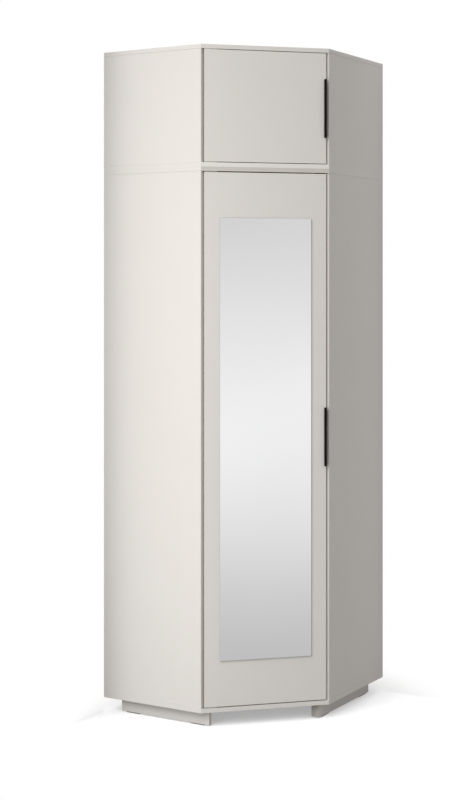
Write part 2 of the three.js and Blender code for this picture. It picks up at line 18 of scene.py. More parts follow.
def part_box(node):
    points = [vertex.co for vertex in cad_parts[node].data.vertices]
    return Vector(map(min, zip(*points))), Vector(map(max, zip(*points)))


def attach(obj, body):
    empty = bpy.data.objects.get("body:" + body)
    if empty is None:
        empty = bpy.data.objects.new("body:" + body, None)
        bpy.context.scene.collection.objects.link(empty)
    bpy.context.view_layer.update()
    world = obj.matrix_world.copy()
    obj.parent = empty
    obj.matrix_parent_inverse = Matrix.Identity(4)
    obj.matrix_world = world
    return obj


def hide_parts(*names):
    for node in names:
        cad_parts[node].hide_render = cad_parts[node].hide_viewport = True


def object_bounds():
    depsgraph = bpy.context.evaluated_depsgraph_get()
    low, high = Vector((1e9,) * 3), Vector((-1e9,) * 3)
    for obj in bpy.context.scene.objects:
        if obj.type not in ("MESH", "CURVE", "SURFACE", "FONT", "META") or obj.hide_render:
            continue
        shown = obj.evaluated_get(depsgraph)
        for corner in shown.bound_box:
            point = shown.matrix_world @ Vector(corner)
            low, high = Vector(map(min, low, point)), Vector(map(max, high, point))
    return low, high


Tree = bpy.types.NodeTree
Socket = bpy.types.NodeSocket
Material = bpy.types.Material
Piece = bpy.types.Object
Profile = Sequence[tuple[float, float]]
BandedEdges = Sequence[tuple[Vector, Vector]]
FaceRule = Callable[[Vector, Vector], int]

LOG = logging.getLogger("corner_wardrobe")

MM = 0.001
# Metres within which two levels are one, and within which a point lies on a line.
SAME_PLACE, ON_LINE = 1e-6, 0.02 * MM
# Millimetres that a cutter goes past a face, and that a round cutter goes past a level.
CUT_OVERRUN, BORE_OVERRUN = 2.0, 1.0
# Cosines above which a face looks exactly, nearly or roughly along a direction.
FLAT_TEST, FRONT_TEST, FACING_TEST = 0.999, 0.9, 0.5
# The range that a noise texture mostly keeps to.
NOISE_LOW, NOISE_HIGH = 0.3, 0.7

MINUS_X, PLUS_X = Vector((-1, 0, 0)), Vector((1, 0, 0))
MINUS_Y, PLUS_Y = Vector((0, -1, 0)), Vector((0, 1, 0))
DOWN, UP = Vector((0, 0, -1)), Vector((0, 0, 1))
FLIP = Matrix.Rotation(math.pi, 4, "X")
LIE_BACK = Matrix.Rotation(-math.pi / 2, 4, "X")

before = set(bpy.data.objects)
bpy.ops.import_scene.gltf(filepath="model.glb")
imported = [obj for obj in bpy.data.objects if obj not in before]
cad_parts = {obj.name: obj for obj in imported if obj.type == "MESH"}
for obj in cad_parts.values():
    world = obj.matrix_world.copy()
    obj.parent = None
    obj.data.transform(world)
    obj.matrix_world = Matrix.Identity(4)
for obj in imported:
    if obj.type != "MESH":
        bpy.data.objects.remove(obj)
cad_box = [list(corner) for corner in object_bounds()]


def to_metres(*lengths: float) -> Vector:
    """Three millimetre lengths as a vector in metres."""
    return Vector([length * MM for length in lengths])


def shift(*lengths: float) -> Matrix:
    """A move by three millimetre lengths."""
    return Matrix.Translation(to_metres(*lengths))


def pattern_scale(repeat_mm: float) -> float:
    """The scale of a pattern that repeats after so many millimetres."""
    return 1000 / repeat_mm


def facing(direction: Vector) -> Matrix:
    """The turn that points a frame's +Z along a direction."""
    return direction.to_track_quat("Z", "Y").to_matrix().to_4x4()


def edge_run(edge: bmesh.types.BMEdge) -> Vector:
    """The unit vector along an edge."""
    return (edge.verts[1].co - edge.verts[0].co).normalized()


def nodes_named(prefix: str) -> list[str]:
    """The CAD nodes whose names start with a prefix."""
    return [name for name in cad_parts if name.startswith(prefix)]


def hex_to_linear(colour: str) -> tuple[float, float, float, float]:
    """Turn an sRGB hex colour into linear RGBA.

    Args:
        colour: six hex digits after a hash sign.

    Returns:
        Linear red, green, blue and an alpha of one.
    """
    parts = [int(colour[i : i + 2], 16) / 255 for i in (1, 3, 5)]
    linear = [p / 12.92 if p <= 0.04045 else ((p + 0.055) / 1.055) ** 2.4 for p in parts]
    return (*linear, 1.0)


def add_node(
    tree: Tree,
    kind: str,
    settings: Mapping[str, object] | None = None,
    inputs: Mapping[str | int, object] | None = None,
) -> bpy.types.Node:
    """Add a node, set its properties, and fill or link its inputs.

    Args:
        tree: the node tree that takes the node.
        kind: the node's type name.
        settings: property names and their values.
        inputs: input names or numbers, each with a value or an output socket to link.

    Returns:
        The new node.
    """
    node = tree.nodes.new(kind)
    for name, value in (settings or {}).items():
        setattr(node, name, value)
    for key, value in (inputs or {}).items():
        if isinstance(value, Socket):
            tree.links.new(value, node.inputs[key])
        else:
            node.inputs[key].default_value = value
    return node


def new_material(name: str) -> tuple[Material, Tree]:
    """Make an empty node material.

    Args:
        name: the material's name.

    Returns:
        The material and its node tree.
    """
    material = bpy.data.materials.new(name)
    material.use_nodes = True
    material.node_tree.nodes.clear()
    return material, material.node_tree


def object_coordinates(tree: Tree, turn: float = 0.0, stretch: Sequence[float] = (1, 1, 1)) -> Socket:
    """Object coordinates, turned about the upright axis and stretched for a pattern.

    Args:
        tree: the material's node tree.
        turn: angle about z in radians.
        stretch: scale of the pattern along x, y and z.

    Returns:
        The vector output to build patterns on.
    """
    place = add_node(tree, "ShaderNodeTexCoord").outputs["Object"]
    inputs = {"Vector": place, "Rotation": (0, 0, turn), "Scale": tuple(stretch)}
    return add_node(tree, "ShaderNodeMapping", inputs=inputs).outputs["Vector"]


def mottle(tree: Tree, place: Socket, lump_mm: float, detail: float = 2.0) -> tuple[Socket, Socket]:
    """Lay a pattern of soft lumps.

    Args:
        tree: the material's node tree.
        place: the coordinates that carry the pattern.
        lump_mm: about how far across a lump is.
        detail: how much finer structure the lumps have.

    Returns:
        The bare pattern, for a relief, and the same pattern drawn out to run from 0 to 1.
    """
    inputs = {"Vector": place, "Scale": pattern_scale(lump_mm), "Detail": detail}
    lumps = add_node(tree, "ShaderNodeTexNoise", None, inputs)
    limits = {"Value": lumps.outputs["Fac"], "From Min": NOISE_LOW, "From Max": NOISE_HIGH}
    return lumps.outputs["Fac"], add_node(tree, "ShaderNodeMapRange", None, limits).outputs["Result"]


@dataclass(frozen=True)
class Finish:
    """What every finish has: a name, two tones that its pattern runs between, and the shader's values.

    Roughness is a lowest and a highest value; relief is a bump's depth in millimetres and its strength.
    """

    name: str
    light: str
    deep: str
    roughness: tuple[float, float] = (0.5, 0.5)
    relief: tuple[float, float] = (0.0, 0.0)
    metallic: float = 0.0
    specular: float = 0.5
    coat: float = 0.0

    def lay(self, tree: Tree) -> None:
        """Lay the finish's own patterns and close the tree.

        Args:
            tree: the material's node tree.
        """
        raise NotImplementedError

    def build(self) -> Material:
        """Make the finish's material.

        Returns:
            The material.
        """
        material, tree = new_material(self.name)
        self.lay(tree)
        return material

    def close(
        self, tree: Tree, tone: Socket, height: Socket | None = None, dullness: Socket | None = None
    ) -> None:
        """Blend the tones, add relief and roughness, and end in a Principled shader.

        Args:
            tree: the material's node tree.
            tone: the pattern, 0 to 1, that runs from the light tone to the deep one.
            height: the pattern of the relief, where the finish has one.
            dullness: the pattern, 0 to 1, of the roughness, where it varies.
        """
        tones = {0: tone, 6: hex_to_linear(self.light), 7: hex_to_linear(self.deep)}
        low, high = self.roughness
        depth_mm, strength = self.relief
        inputs = {
            "Base Color": add_node(tree, "ShaderNodeMix", {"data_type": "RGBA"}, tones).outputs[2],
            "Roughness": low,
            "Metallic": self.metallic,
            "Specular IOR Level": self.specular,
            "Coat Weight": self.coat,
        }
        if dullness is not None and low != high:
            limits = {"Value": dullness, "To Min": low, "To Max": high}
            inputs["Roughness"] = add_node(tree, "ShaderNodeMapRange", None, limits).outputs["Result"]
        if height is not None and strength:
            dent = {"Height": height, "Distance": depth_mm * MM, "Strength": strength}
            inputs["Normal"] = add_node(tree, "ShaderNodeBump", None, dent).outputs["Normal"]
        shader = add_node(tree, "ShaderNodeBsdfPrincipled", None, inputs)
        add_node(tree, "ShaderNodeOutputMaterial", None, {"Surface": shader.outputs["BSDF"]})


@dataclass(frozen=True)
class GrainedFinish(Finish):
    """A finish with broad, faint lumps of tone, and a fine grain in relief and roughness."""

    lump_mm: float = 15.0
    grain_mm: float = 0.8
    grain_detail: float = 2.0

    def lay(self, tree: Tree) -> None:
        """Lay the lumps and the grain.

        Args:
            tree: the material's node tree.
        """
        place = object_coordinates(tree)
        _, lumps = mottle(tree, place, self.lump_mm)
        self.close(tree, lumps, *mottle(tree, place, self.grain_mm, self.grain_detail))


@dataclass(frozen=True)
class PlainFinish(Finish):
    """A finish whose tone, relief and roughness follow one pattern, which may be drawn out and turned."""

    pattern_mm: float = 4.0
    detail: float = 3.0
    stretch: tuple[float, float, float] = (1, 1, 1)
    turn: float = 0.0

    def lay(self, tree: Tree) -> None:
        """Lay the one pattern.

        Args:
            tree: the material's node tree.
        """
        place = object_coordinates(tree, self.turn, self.stretch)
        pattern, share = mottle(tree, place, self.pattern_mm, self.detail)
        self.close(tree, share, pattern, share)


@dataclass(frozen=True)
class MelamineBoard(GrainedFinish):
    """Melamine-faced chipboard, pressed against a pearl-textured plate: an even satin face."""

    name: str = "melamine_faced_chipboard"
    light: str = "#d9d4cf"
    deep: str = "#d8d3ce"
    roughness: tuple[float, float] = (0.46, 0.56)
    relief: tuple[float, float] = (0.05, 0.35)
    specular: float = 0.35
    lump_mm: float = 90.0
    grain_mm: float = 2.5
    grain_detail: float = 3.0


@dataclass(frozen=True)
class EdgeBanding(GrainedFinish):
    """ABS edge band, 0.8 mm thick: smoother than the board's face, with the scraper's faint streaks."""

    name: str = "abs_edge_band"
    light: str = "#d9d4cf"
    deep: str = "#d7d2cd"
    roughness: tuple[float, float] = (0.4, 0.48)
    relief: tuple[float, float] = (0.03, 0.3)
    specular: float = 0.4
    lump_mm: float = 6.0
    grain_mm: float = 1.2


@dataclass(frozen=True)
class MouldedPlastic(GrainedFinish):
    """Injection-moulded plastic with a spark-eroded tool texture: dull, with slight flow marks."""

    roughness: tuple[float, float] = (0.45, 0.57)
    relief: tuple[float, float] = (0.04, 0.4)


@dataclass(frozen=True)
class AnodisedAluminium(PlainFinish):
    """Extruded aluminium, anodised brown-black: draw lines along z, and nearly no gloss left by the dye."""

    name: str = "black_anodised_aluminium"
    light: str = "#100d0a"
    deep: str = "#0a0806"
    roughness: tuple[float, float] = (0.42, 0.52)
    relief: tuple[float, float] = (0.02, 0.3)
    metallic: float = 0.1
    specular: float = 0.07
    pattern_mm: float = 0.9
    stretch: tuple[float, float, float] = (1, 1, 0.02)


@dataclass(frozen=True)
class PlatedMetal(PlainFinish):
    """Plated steel: zinc is cloudy and half dull, chrome is bright with the tube's faint draw lines."""

    roughness: tuple[float, float] = (0.3, 0.42)
    relief: tuple[float, float] = (0.01, 0.3)
    metallic: float = 1.0


@dataclass(frozen=True)
class SilveredGlass(PlainFinish):
    """Float glass silvered on its back: a clean, neutral mirror whose tone drifts very slightly."""

    name: str = "silvered_glass"
    light: str = "#f7f7f7"
    deep: str = "#f4f4f5"
    roughness: tuple[float, float] = (0.02, 0.02)
    metallic: float = 1.0
    pattern_mm: float = 400.0
    detail: float = 0.0


@dataclass(frozen=True)
class PolishedGlassEdge(PlainFinish):
    """Ground and polished glass edge: a thin grey-green line with grinder marks under a clear polish."""

    name: str = "polished_glass_edge"
    light: str = "#b4b9b6"
    deep: str = "#abb0ad"
    roughness: tuple[float, float] = (0.18, 0.18)
    relief: tuple[float, float] = (0.02, 0.3)
    coat: float = 0.4
    pattern_mm: float = 0.5
    detail: float = 2.0


@dataclass(frozen=True)
class RawChipboard(Finish):
    """Sawn chipboard edge, not banded: coarse chips in the middle, pale brown and dull."""

    name: str = "raw_chipboard_edge"
    light: str = "#cbb084"
    deep: str = "#8f7148"
    roughness: tuple[float, float] = (0.9, 0.9)
    relief: tuple[float, float] = (0.3, 0.6)
    chip_mm: float = 3.0

    def lay(self, tree: Tree) -> None:
        """Lay the chips as cells, each with its own share of two browns.

        Args:
            tree: the material's node tree.
        """
        inputs = {"Vector": object_coordinates(tree), "Scale": pattern_scale(self.chip_mm)}
        cells = add_node(tree, "ShaderNodeTexVoronoi", None, inputs)
        tone = add_node(tree, "ShaderNodeSeparateColor", None, {"Color": cells.outputs["Color"]})
        self.close(tree, tone.outputs["Red"], cells.outputs["Distance"])


@dataclass(frozen=True)
class Hardboard(Finish):
    """Wet-process hardboard: one side is lacquered smooth, the other keeps the print of the wire screen."""

    screen_mm: float = 3.0
    screen_waver: float = 0.4
    fibre_mm: float = 8.0
    fibre_detail: float = 5.0

    def lay(self, tree: Tree) -> None:
        """Lay fibre mottling over a woven screen print.

        Args:
            tree: the material's node tree.
        """
        place = object_coordinates(tree)
        _, fibres = mottle(tree, place, self.fibre_mm, self.fibre_detail)
        scale = pattern_scale(self.screen_mm) / math.pi
        inputs = {"Vector": place, "Scale": scale, "Distortion": self.screen_waver}
        x_wave, y_wave, z_wave = (
            add_node(tree, "ShaderNodeTexWave", {"bands_direction": direction}, inputs).outputs["Fac"]
            for direction in ("X", "Y", "Z")
        )
        pair = add_node(tree, "ShaderNodeMath", {"operation": "MULTIPLY"}, {0: x_wave, 1: z_wave})
        factors = {0: y_wave, 1: z_wave, 2: pair.outputs[0]}
        weave = add_node(tree, "ShaderNodeMath", {"operation": "MULTIPLY_ADD"}, factors)
        self.close(tree, fibres, weave.outputs[0])


@dataclass(frozen=True)
class Pine(Finish):
    """Planed pine batten, unvarnished: straight grain with yellow early wood and browner late wood."""

    name: str = "planed_pine"
    light: str = "#e2cba2"
    deep: str = "#c9a674"
    roughness: tuple[float, float] = (0.62, 0.62)
    relief: tuple[float, float] = (0.1, 0.4)
    ring_mm: float = 5.0
    along_grain: float = 0.05
    waver: float = 3.0
    detail: float = 3.0
    detail_scale: float = 1.5

    def lay(self, tree: Tree) -> None:
        """Lay wavering bands, stretched along the batten.

        Args:
            tree: the material's node tree.
        """
        inputs = {
            "Vector": object_coordinates(tree, stretch=(1, 1, self.along_grain)),
            "Scale": pattern_scale(self.ring_mm) / math.tau,
            "Distortion": self.waver,
            "Detail": self.detail,
            "Detail Scale": self.detail_scale,
        }
        rings = add_node(tree, "ShaderNodeTexWave", {"bands_direction": "DIAGONAL"}, inputs).outputs["Fac"]
        self.close(tree, rings, rings)


class Finishes:
    """Every finish of the wardrobe, built once."""

    def __init__(self) -> None:
        """Build the finishes, each under a note of what it gives the eye."""
        # An even, warm off-white with the soft sheen of pressed melamine.
        self.board = MelamineBoard().build()
        # The same white a touch smoother, with faint streaks along the edges.
        self.band = EdgeBanding().build()
        # A greyer copy of the band with painted shade, on the right panels' front ends and the lower unit's
        # top front: it parts them from the white doors.
        self.painted_shade_band = EdgeBanding("abs_edge_band_painted_shade", "#cac4be", "#c6c0ba").build()
        # A brighter copy of the band with painted light: the light line down the left panels' front ends.
        self.painted_light_band = EdgeBanding("abs_edge_band_painted_light", "#ebe7e2", "#e8e4df").build()
        # A copy of the band with painted light, between white and bright: the upper half of the strip between
        # the doors, lighter than the painted-shade lower half.
        self.painted_light_upper_band = EdgeBanding("abs_edge_band_painted_light_upper", "#e2ddd8", "#dedad5").build()
        # A darker copy of the band with painted shade for the right plinth boards under the overhang, the
        # darkest of the edges.
        self.plinth_painted_shade_band = EdgeBanding("abs_edge_band_painted_shade_plinth", "#b7b1aa", "#b1aba4").build()
        # A darker copy of the band with painted shade, which makes the gap beside a door's left edge read as
        # a soft line.
        self.gap_painted_shade_band = EdgeBanding("abs_edge_band_painted_gap_shade", "#b3aca5", "#aca59e").build()
        # Coarse pale and dark chips where a board's edge isn't banded.
        self.chipboard = RawChipboard().build()
        # The back sheets' inner side: smooth off-white with a hint of fibres.
        self.hardboard_face = Hardboard(
            "lacquered_hardboard_face", "#dedad4", "#d8d3cc", (0.5, 0.5), (0.02, 0.5), screen_mm=12
        ).build()
        # The back sheets' outer side: tan, dull, with the small checks of a wire screen.
        self.hardboard_back = Hardboard(
            "hardboard_screen_side", "#ccb699", "#bea586", (0.85, 0.85), (0.3, 0.5), screen_mm=3
        ).build()
        # Yellow and browner grain that runs up the corner posts.
        self.pine = Pine().build()
        # Nearly black and nearly without gloss, so the pulls read as dark strokes.
        self.aluminium = AnodisedAluminium().build()
        # A clear, neutral reflection.
        self.mirror = SilveredGlass().build()
        # A thin grey-green rim round the reflection.
        self.glass_edge = PolishedGlassEdge().build()
        # Flat grey paint on the mirror's back, a little uneven.
        self.mirror_back = MouldedPlastic(
            "mirror_backing_paint", "#8d9194", "#84888b", (0.55, 0.67), grain_mm=3
        ).build()
        # Dark waxy brown-grey for glides and washers.
        self.dark_plastic = MouldedPlastic("moulded_dark_polyethylene", "#3a3632", "#332f2b").build()
        # Light grey, finely grained, for catches and rail brackets.
        self.grey_plastic = MouldedPlastic("moulded_grey_abs", "#bbb8b2", "#b3b0aa").build()
        # Cream, a little glossier than the boards, for the cam caps.
        self.cap_plastic = MouldedPlastic(
            "moulded_cream_polystyrene", "#d2ccc5", "#cdc7c0", (0.37, 0.49)
        ).build()
        # The dull charcoal of a sintered magnet.
        self.ferrite = MouldedPlastic(
            "sintered_ferrite", "#3d3c3d", "#313031", (0.55, 0.67), grain_mm=0.6
        ).build()
        # Cloudy silver grey, half dull, for screws, leaves and pins.
        self.zinc = PlatedMetal("zinc_plated_steel", "#cfcfcb", "#bcbcb8").build()
        # Bright, with faint lines along the rail.
        self.chrome = PlatedMetal(
            "chrome_plated_tube",
            "#dddfe0",
            "#d9dbdc",
            (0.09, 0.12),
            (0.001, 0.3),
            pattern_mm=0.8,
            stretch=(0.02, 1, 1),
            turn=-math.pi / 4,
        ).build()


class Slot(Enum):
    """The material slots."""

    LAMINATE = "laminate"
    FIBREBOARD = "fibreboard"
    PINE = "pine"
    BLACK_ALUMINIUM = "black_aluminium"
    MIRROR = "mirror"
    DARK_PLASTIC = "dark_plastic"
    GREY_PLASTIC = "grey_plastic"
    STEEL = "steel"
    CHROME = "chrome"


class Pick(Enum):
    """What a test chooses in edit mode."""

    FACE = "FACE"
    EDGE = "EDGE"


class Cut(Enum):
    """What a cutter does to a piece."""

    AWAY = "DIFFERENCE"
    JOIN = "UNION"


class Bench:
    """Tools for shaping one mesh at a time."""

    @staticmethod
    def activate(piece: Piece) -> None:
        """Deselect everything, then select one piece and make it active.

        Args:
            piece: the piece.
        """
        if bpy.context.object and bpy.context.object.mode != "OBJECT":
            bpy.ops.object.mode_set(mode="OBJECT")
        bpy.ops.object.select_all(action="DESELECT")
        bpy.context.view_layer.objects.active = piece
        piece.select_set(True)

    @staticmethod
    def settle(piece: Piece, place: Matrix | None = None) -> Piece:
        """Put a piece in its place and move that place into its mesh.

        Args:
            piece: the finished piece.
            place: where its own frame stands in the wardrobe's frame.

        Returns:
            The same piece, at the origin and unturned.
        """
        Bench.activate(piece)
        if place is not None:
            piece.matrix_world = place @ piece.matrix_world
        mirrored = piece.matrix_world.determinant() < 0
        bpy.ops.object.transform_apply(location=True, rotation=True, scale=True)
        if mirrored:
            bpy.ops.object.mode_set(mode="EDIT")
            bpy.ops.mesh.select_all(action="SELECT")
            bpy.ops.mesh.normals_make_consistent(inside=False)
            Bench.leave()
        return piece

    @staticmethod
    def take(name: str, scale: Sequence[float] = (1, 1, 1)) -> Piece:
        """Name, scale and settle the blank that was just added.

        Args:
            name: the blank's name.
            scale: its scale along x, y and z.

        Returns:
            The blank.
        """
        piece = bpy.context.object
        piece.name = name
        piece.scale = scale
        return Bench.settle(piece)

    @staticmethod
    def block(name: str, low: Vector, high: Vector) -> Piece:
        """Make a block, the blank of most pieces.

        Args:
            name: the block's name.
            low: its lowest corner in metres.
            high: its highest corner in metres.

        Returns:
            The block.
        """
        bpy.ops.object.select_all(action="DESELECT")
        bpy.ops.mesh.primitive_cube_add(size=1, location=(low + high) / 2)
        return Bench.take(name, high - low)

    @staticmethod
    def disc(name: str, radius: float, height: float, sides: int = 32) -> Piece:
        """Make an upright round blank that stands on the origin.

        Args:
            name: the blank's name.
            radius: its radius in metres.
            height: its height in metres.
            sides: how many facets go round.

        Returns:
            The blank.
        """
        bpy.ops.object.select_all(action="DESELECT")
        bpy.ops.mesh.primitive_cylinder_add(
            vertices=sides, radius=radius, depth=height, location=(0, 0, height / 2)
        )
        return Bench.take(name)

    @staticmethod
    def turned(name: str, profile: Profile, sides: int = 32) -> Piece:
        """Turn a round solid on the z axis, section by section.

        Args:
            name: the piece's name.
            profile: radius and level of each section in millimetres, from its foot to its middle.
            sides: how many facets go round.

        Returns:
            The closed solid.
        """
        (foot_radius, foot), (radius, level) = profile[:2]
        bpy.ops.object.select_all(action="DESELECT")
        bpy.ops.mesh.primitive_cone_add(
            vertices=sides,
            radius1=foot_radius * MM,
            radius2=radius * MM,
            depth=(level - foot) * MM,
            location=(0, 0, (foot + level) / 2 * MM),
        )
        piece = Bench.take(name)
        top = level * MM
        Bench.choose(
            piece,
            Pick.FACE,
            lambda face: face.normal.z > FLAT_TEST and abs(face.calc_center_median().z - top) < SAME_PLACE,
        )
        for next_radius, next_level in profile[2:]:
            Bench.extrude((0, 0, (next_level - level) * MM))
            if next_radius != radius:
                share = next_radius / radius
                bpy.ops.transform.resize(value=(share, share, 1), center_override=(0, 0, next_level * MM))
            radius, level = next_radius, next_level
        Bench.leave()
        return piece

    @staticmethod
    def plate(name: str, size: Vector, corner: float, steps: int = 5) -> Piece:
        """Make a flat plate in the x-y plane from the origin, its corners rounded.

        Args:
            name: the piece's name.
            size: length, width and thickness in metres.
            corner: the corners' radius in millimetres.
            steps: segments of each corner.

        Returns:
            The plate.
        """
        piece = Bench.block(name, Vector((0, 0, 0)), size)
        Bench.bevel(piece, lambda edge: abs(edge_run(edge).z) > FLAT_TEST, corner, steps)
        return piece

    @staticmethod
    def drill(radius: float, start: Vector, towards: Vector, depth: float) -> Piece:
        """Make the cutter of a round hole.

        Args:
            radius: the hole's radius in millimetres.
            start: where it begins, in metres.
            towards: the unit vector that it goes along.
            depth: how far it goes, in metres.

        Returns:
            The cutter, which begins a little before the hole.
        """
        run = CUT_OVERRUN * MM
        cutter = Bench.disc("drill", radius * MM, depth + run)
        return Bench.settle(cutter, Matrix.Translation(start - towards * run) @ facing(towards))

    @staticmethod
    def choose(piece: Piece, pick: Pick, test: Callable[..., bool]) -> None:
        """Enter edit mode and select just the faces or edges that pass a test.

        Args:
            piece: the piece that is edited.
            pick: whether faces or edges are chosen.
            test: takes a face or an edge and says whether it is chosen.
        """
        Bench.activate(piece)
        bpy.ops.object.mode_set(mode="EDIT")
        bpy.ops.mesh.select_mode(type=pick.value)
        bpy.ops.mesh.select_all(action="DESELECT")
        mesh = bmesh.from_edit_mesh(piece.data)
        for element in mesh.faces if pick is Pick.FACE else mesh.edges:
            if test(element):
                element.select_set(True)
        bmesh.update_edit_mesh(piece.data)

    @staticmethod
    def extrude(step: Sequence[float]) -> None:
        """Draw the chosen faces out by a step in metres."""
        bpy.ops.mesh.extrude_region_move(TRANSFORM_OT_translate={"value": tuple(step)})

    @staticmethod
    def leave() -> None:
        """Go back to object mode."""
        bpy.ops.object.mode_set(mode="OBJECT")

    @staticmethod
    def bevel(piece: Piece, test: Callable[[bmesh.types.BMEdge], bool], width: float, steps: int) -> None:
        """Round or chamfer just the edges that pass a test.

        Args:
            piece: the piece.
            test: says of an edge whether it is rounded.
            width: how far the rounding reaches, in millimetres.
            steps: its segments; one makes a chamfer.
        """
        Bench.choose(piece, Pick.EDGE, test)
        bpy.ops.mesh.bevel(offset=width * MM, segments=steps, affect="EDGES")
        Bench.leave()

    @staticmethod
    def saw(piece: Piece, point: Vector, normal: Vector, remove: bool = False) -> None:
        """Saw a flat cut through a piece.

        Args:
            piece: what is cut.
            point: a point on the cut.
            normal: the cut's normal.
            remove: takes away what lies on the normal's side and closes the cut.
        """
        Bench.activate(piece)
        bpy.ops.object.mode_set(mode="EDIT")
        bpy.ops.mesh.select_all(action="SELECT")
        bpy.ops.mesh.bisect(plane_co=point, plane_no=normal, use_fill=remove, clear_outer=remove)
        Bench.leave()

    @staticmethod
    def apply(piece: Piece, kind: str, **settings: object) -> None:
        """Add a modifier with its settings and apply it.

        Args:
            piece: the piece that takes it.
            kind: the modifier's type name.
            settings: its property names and their values.
        """
        Bench.activate(piece)
        modifier = piece.modifiers.new(kind.title(), kind)
        for name, value in settings.items():
            setattr(modifier, name, value)
        bpy.ops.object.modifier_apply(modifier=modifier.name)

    @staticmethod
    def ease_edges(piece: Piece, width: float, steps: int = 2, angle: float = 40.0) -> None:
        """Round every edge sharper than an angle.

        Args:
            piece: the piece.
            width: how far the rounding reaches, in millimetres.
            steps: its segments.
            angle: the angle in degrees.
        """
        Bench.apply(
            piece,
            "BEVEL",
            width=width * MM,
            segments=steps,
            limit_method="ANGLE",
            angle_limit=math.radians(angle),
            use_clamp_overlap=True,
            harden_normals=False,
        )

    @staticmethod
    def cut_out(piece: Piece, cutters: Iterable[Piece], cut: Cut = Cut.AWAY) -> None:
        """Cut others out of a piece, or join them to it, and throw them away.

        Args:
            piece: what is worked on.
            cutters: the other pieces.
            cut: whether they cut or join.
        """
        for cutter in cutters:
            Bench.apply(piece, "BOOLEAN", operation=cut.value, object=cutter, solver="EXACT")
            bpy.data.objects.remove(cutter, do_unlink=True)

    @staticmethod
    def smooth(piece: Piece, angle: float = 35.0) -> None:
        """Shade smooth, with sharp edges kept crisp and broad faces kept flat.

        Args:
            piece: the piece.
            angle: the angle in degrees from which an edge is sharp.
        """
        Bench.activate(piece)
        bpy.ops.object.shade_smooth_by_angle(angle=math.radians(angle))
        Bench.apply(piece, "WEIGHTED_NORMAL", mode="FACE_AREA", weight=100, keep_sharp=True)

    @staticmethod
    def twin(piece: Piece, name: str, place: Matrix) -> Piece:
        """Copy a piece with a mesh of its own.

        Args:
            piece: the pattern, which stays.
            name: the copy's name.
            place: where the copy's frame stands.

        Returns:
            The copy, settled in its place.
        """
        copy = piece.copy()
        copy.data = piece.data.copy()
        copy.name = name
        bpy.context.scene.collection.objects.link(copy)
        return Bench.settle(copy, place)

    @staticmethod
    def gather(pieces: Sequence[Piece], name: str) -> Piece:
        """Join pieces that never part.

        Args:
            pieces: what is joined.
            name: the name of the whole.

        Returns:
            The first piece, which now holds all of them.
        """
        Bench.activate(pieces[0])
        for piece in pieces[1:]:
            piece.select_set(True)
        bpy.ops.object.join()
        pieces[0].name = name
        return pieces[0]

    @staticmethod
    def dress(piece: Piece, materials: Sequence[Material], rule: FaceRule | None = None) -> None:
        """Give a piece its materials.

        Args:
            piece: what is dressed.
            materials: the finishes in the order of their numbers.
            rule: takes a face's centre and normal and gives the number of its finish.
        """
        piece.data.materials.clear()
        for material in materials:
            piece.data.materials.append(material)
        if rule is not None:
            for polygon in piece.data.polygons:
                polygon.material_index = rule(polygon.center, polygon.normal)

    @staticmethod
    def patch(piece: Piece, material: Material, test: Callable[[Vector, Vector], bool]) -> None:
        """Give some faces one more material.

        Args:
            piece: the dressed piece.
            material: the finish that is added.
            test: takes a face's centre and normal and says whether it gets that finish.
        """
        piece.data.materials.append(material)
        for polygon in piece.data.polygons:
            if test(polygon.center, polygon.normal):
                polygon.material_index = len(piece.data.materials) - 1


def register(piece: Piece, body: str, slot: Slot, *nodes: str) -> None:
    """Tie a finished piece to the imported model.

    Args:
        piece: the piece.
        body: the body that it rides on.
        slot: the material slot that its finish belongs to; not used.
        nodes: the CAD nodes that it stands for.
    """
    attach(piece, body)
    if nodes:
        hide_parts(*nodes)
    LOG.info("%s rides on %s", piece.name, body)


@dataclass(frozen=True)
class SlantedFront:
    """The frame of the slanted front, read from the side panels' front corners."""

    left: Vector
    right: Vector

    @classmethod
    def from_panels(cls) -> "SlantedFront":
        """Find the front's two corners on the lower side panels.

        Returns:
            The front's frame.
        """
        left_low, left_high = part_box("lower_left_side")
        right_low, right_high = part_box("lower_right_side")
        return cls(Vector((left_high.x, left_low.y, 0)), Vector((right_high.x, right_low.y, 0)))

    @property
    def along(self) -> Vector:
        """The unit vector along the front."""
        return (self.right - self.left).normalized()

    @property
    def outwards(self) -> Vector:
        """The unit vector out of the wardrobe."""
        return -Vector((-self.along.y, self.along.x, 0))

    def place(self, u: float = 0.0, v: float = 0.0, z: float = 0.0) -> Matrix:
        """Where a local frame stands, from u, v and z in metres."""
        turn = Matrix.Rotation(math.atan2(self.along.y, self.along.x), 4, "Z")
        return Matrix.Translation(self.left) @ turn @ Matrix.Translation((u, v, z))

    def local_box(self, node: str) -> tuple[Vector, Vector]:
        """Measure a CAD node in the front's frame.

        Args:
            node: the node's name.

        Returns:
            Its lowest and its highest corner.
        """
        back = self.place().inverted()
        points = [back @ vertex.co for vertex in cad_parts[node].data.vertices]
        low = Vector([min(point[axis] for point in points) for axis in range(3)])
        high = Vector([max(point[axis] for point in points) for axis in range(3)])
        return low, high


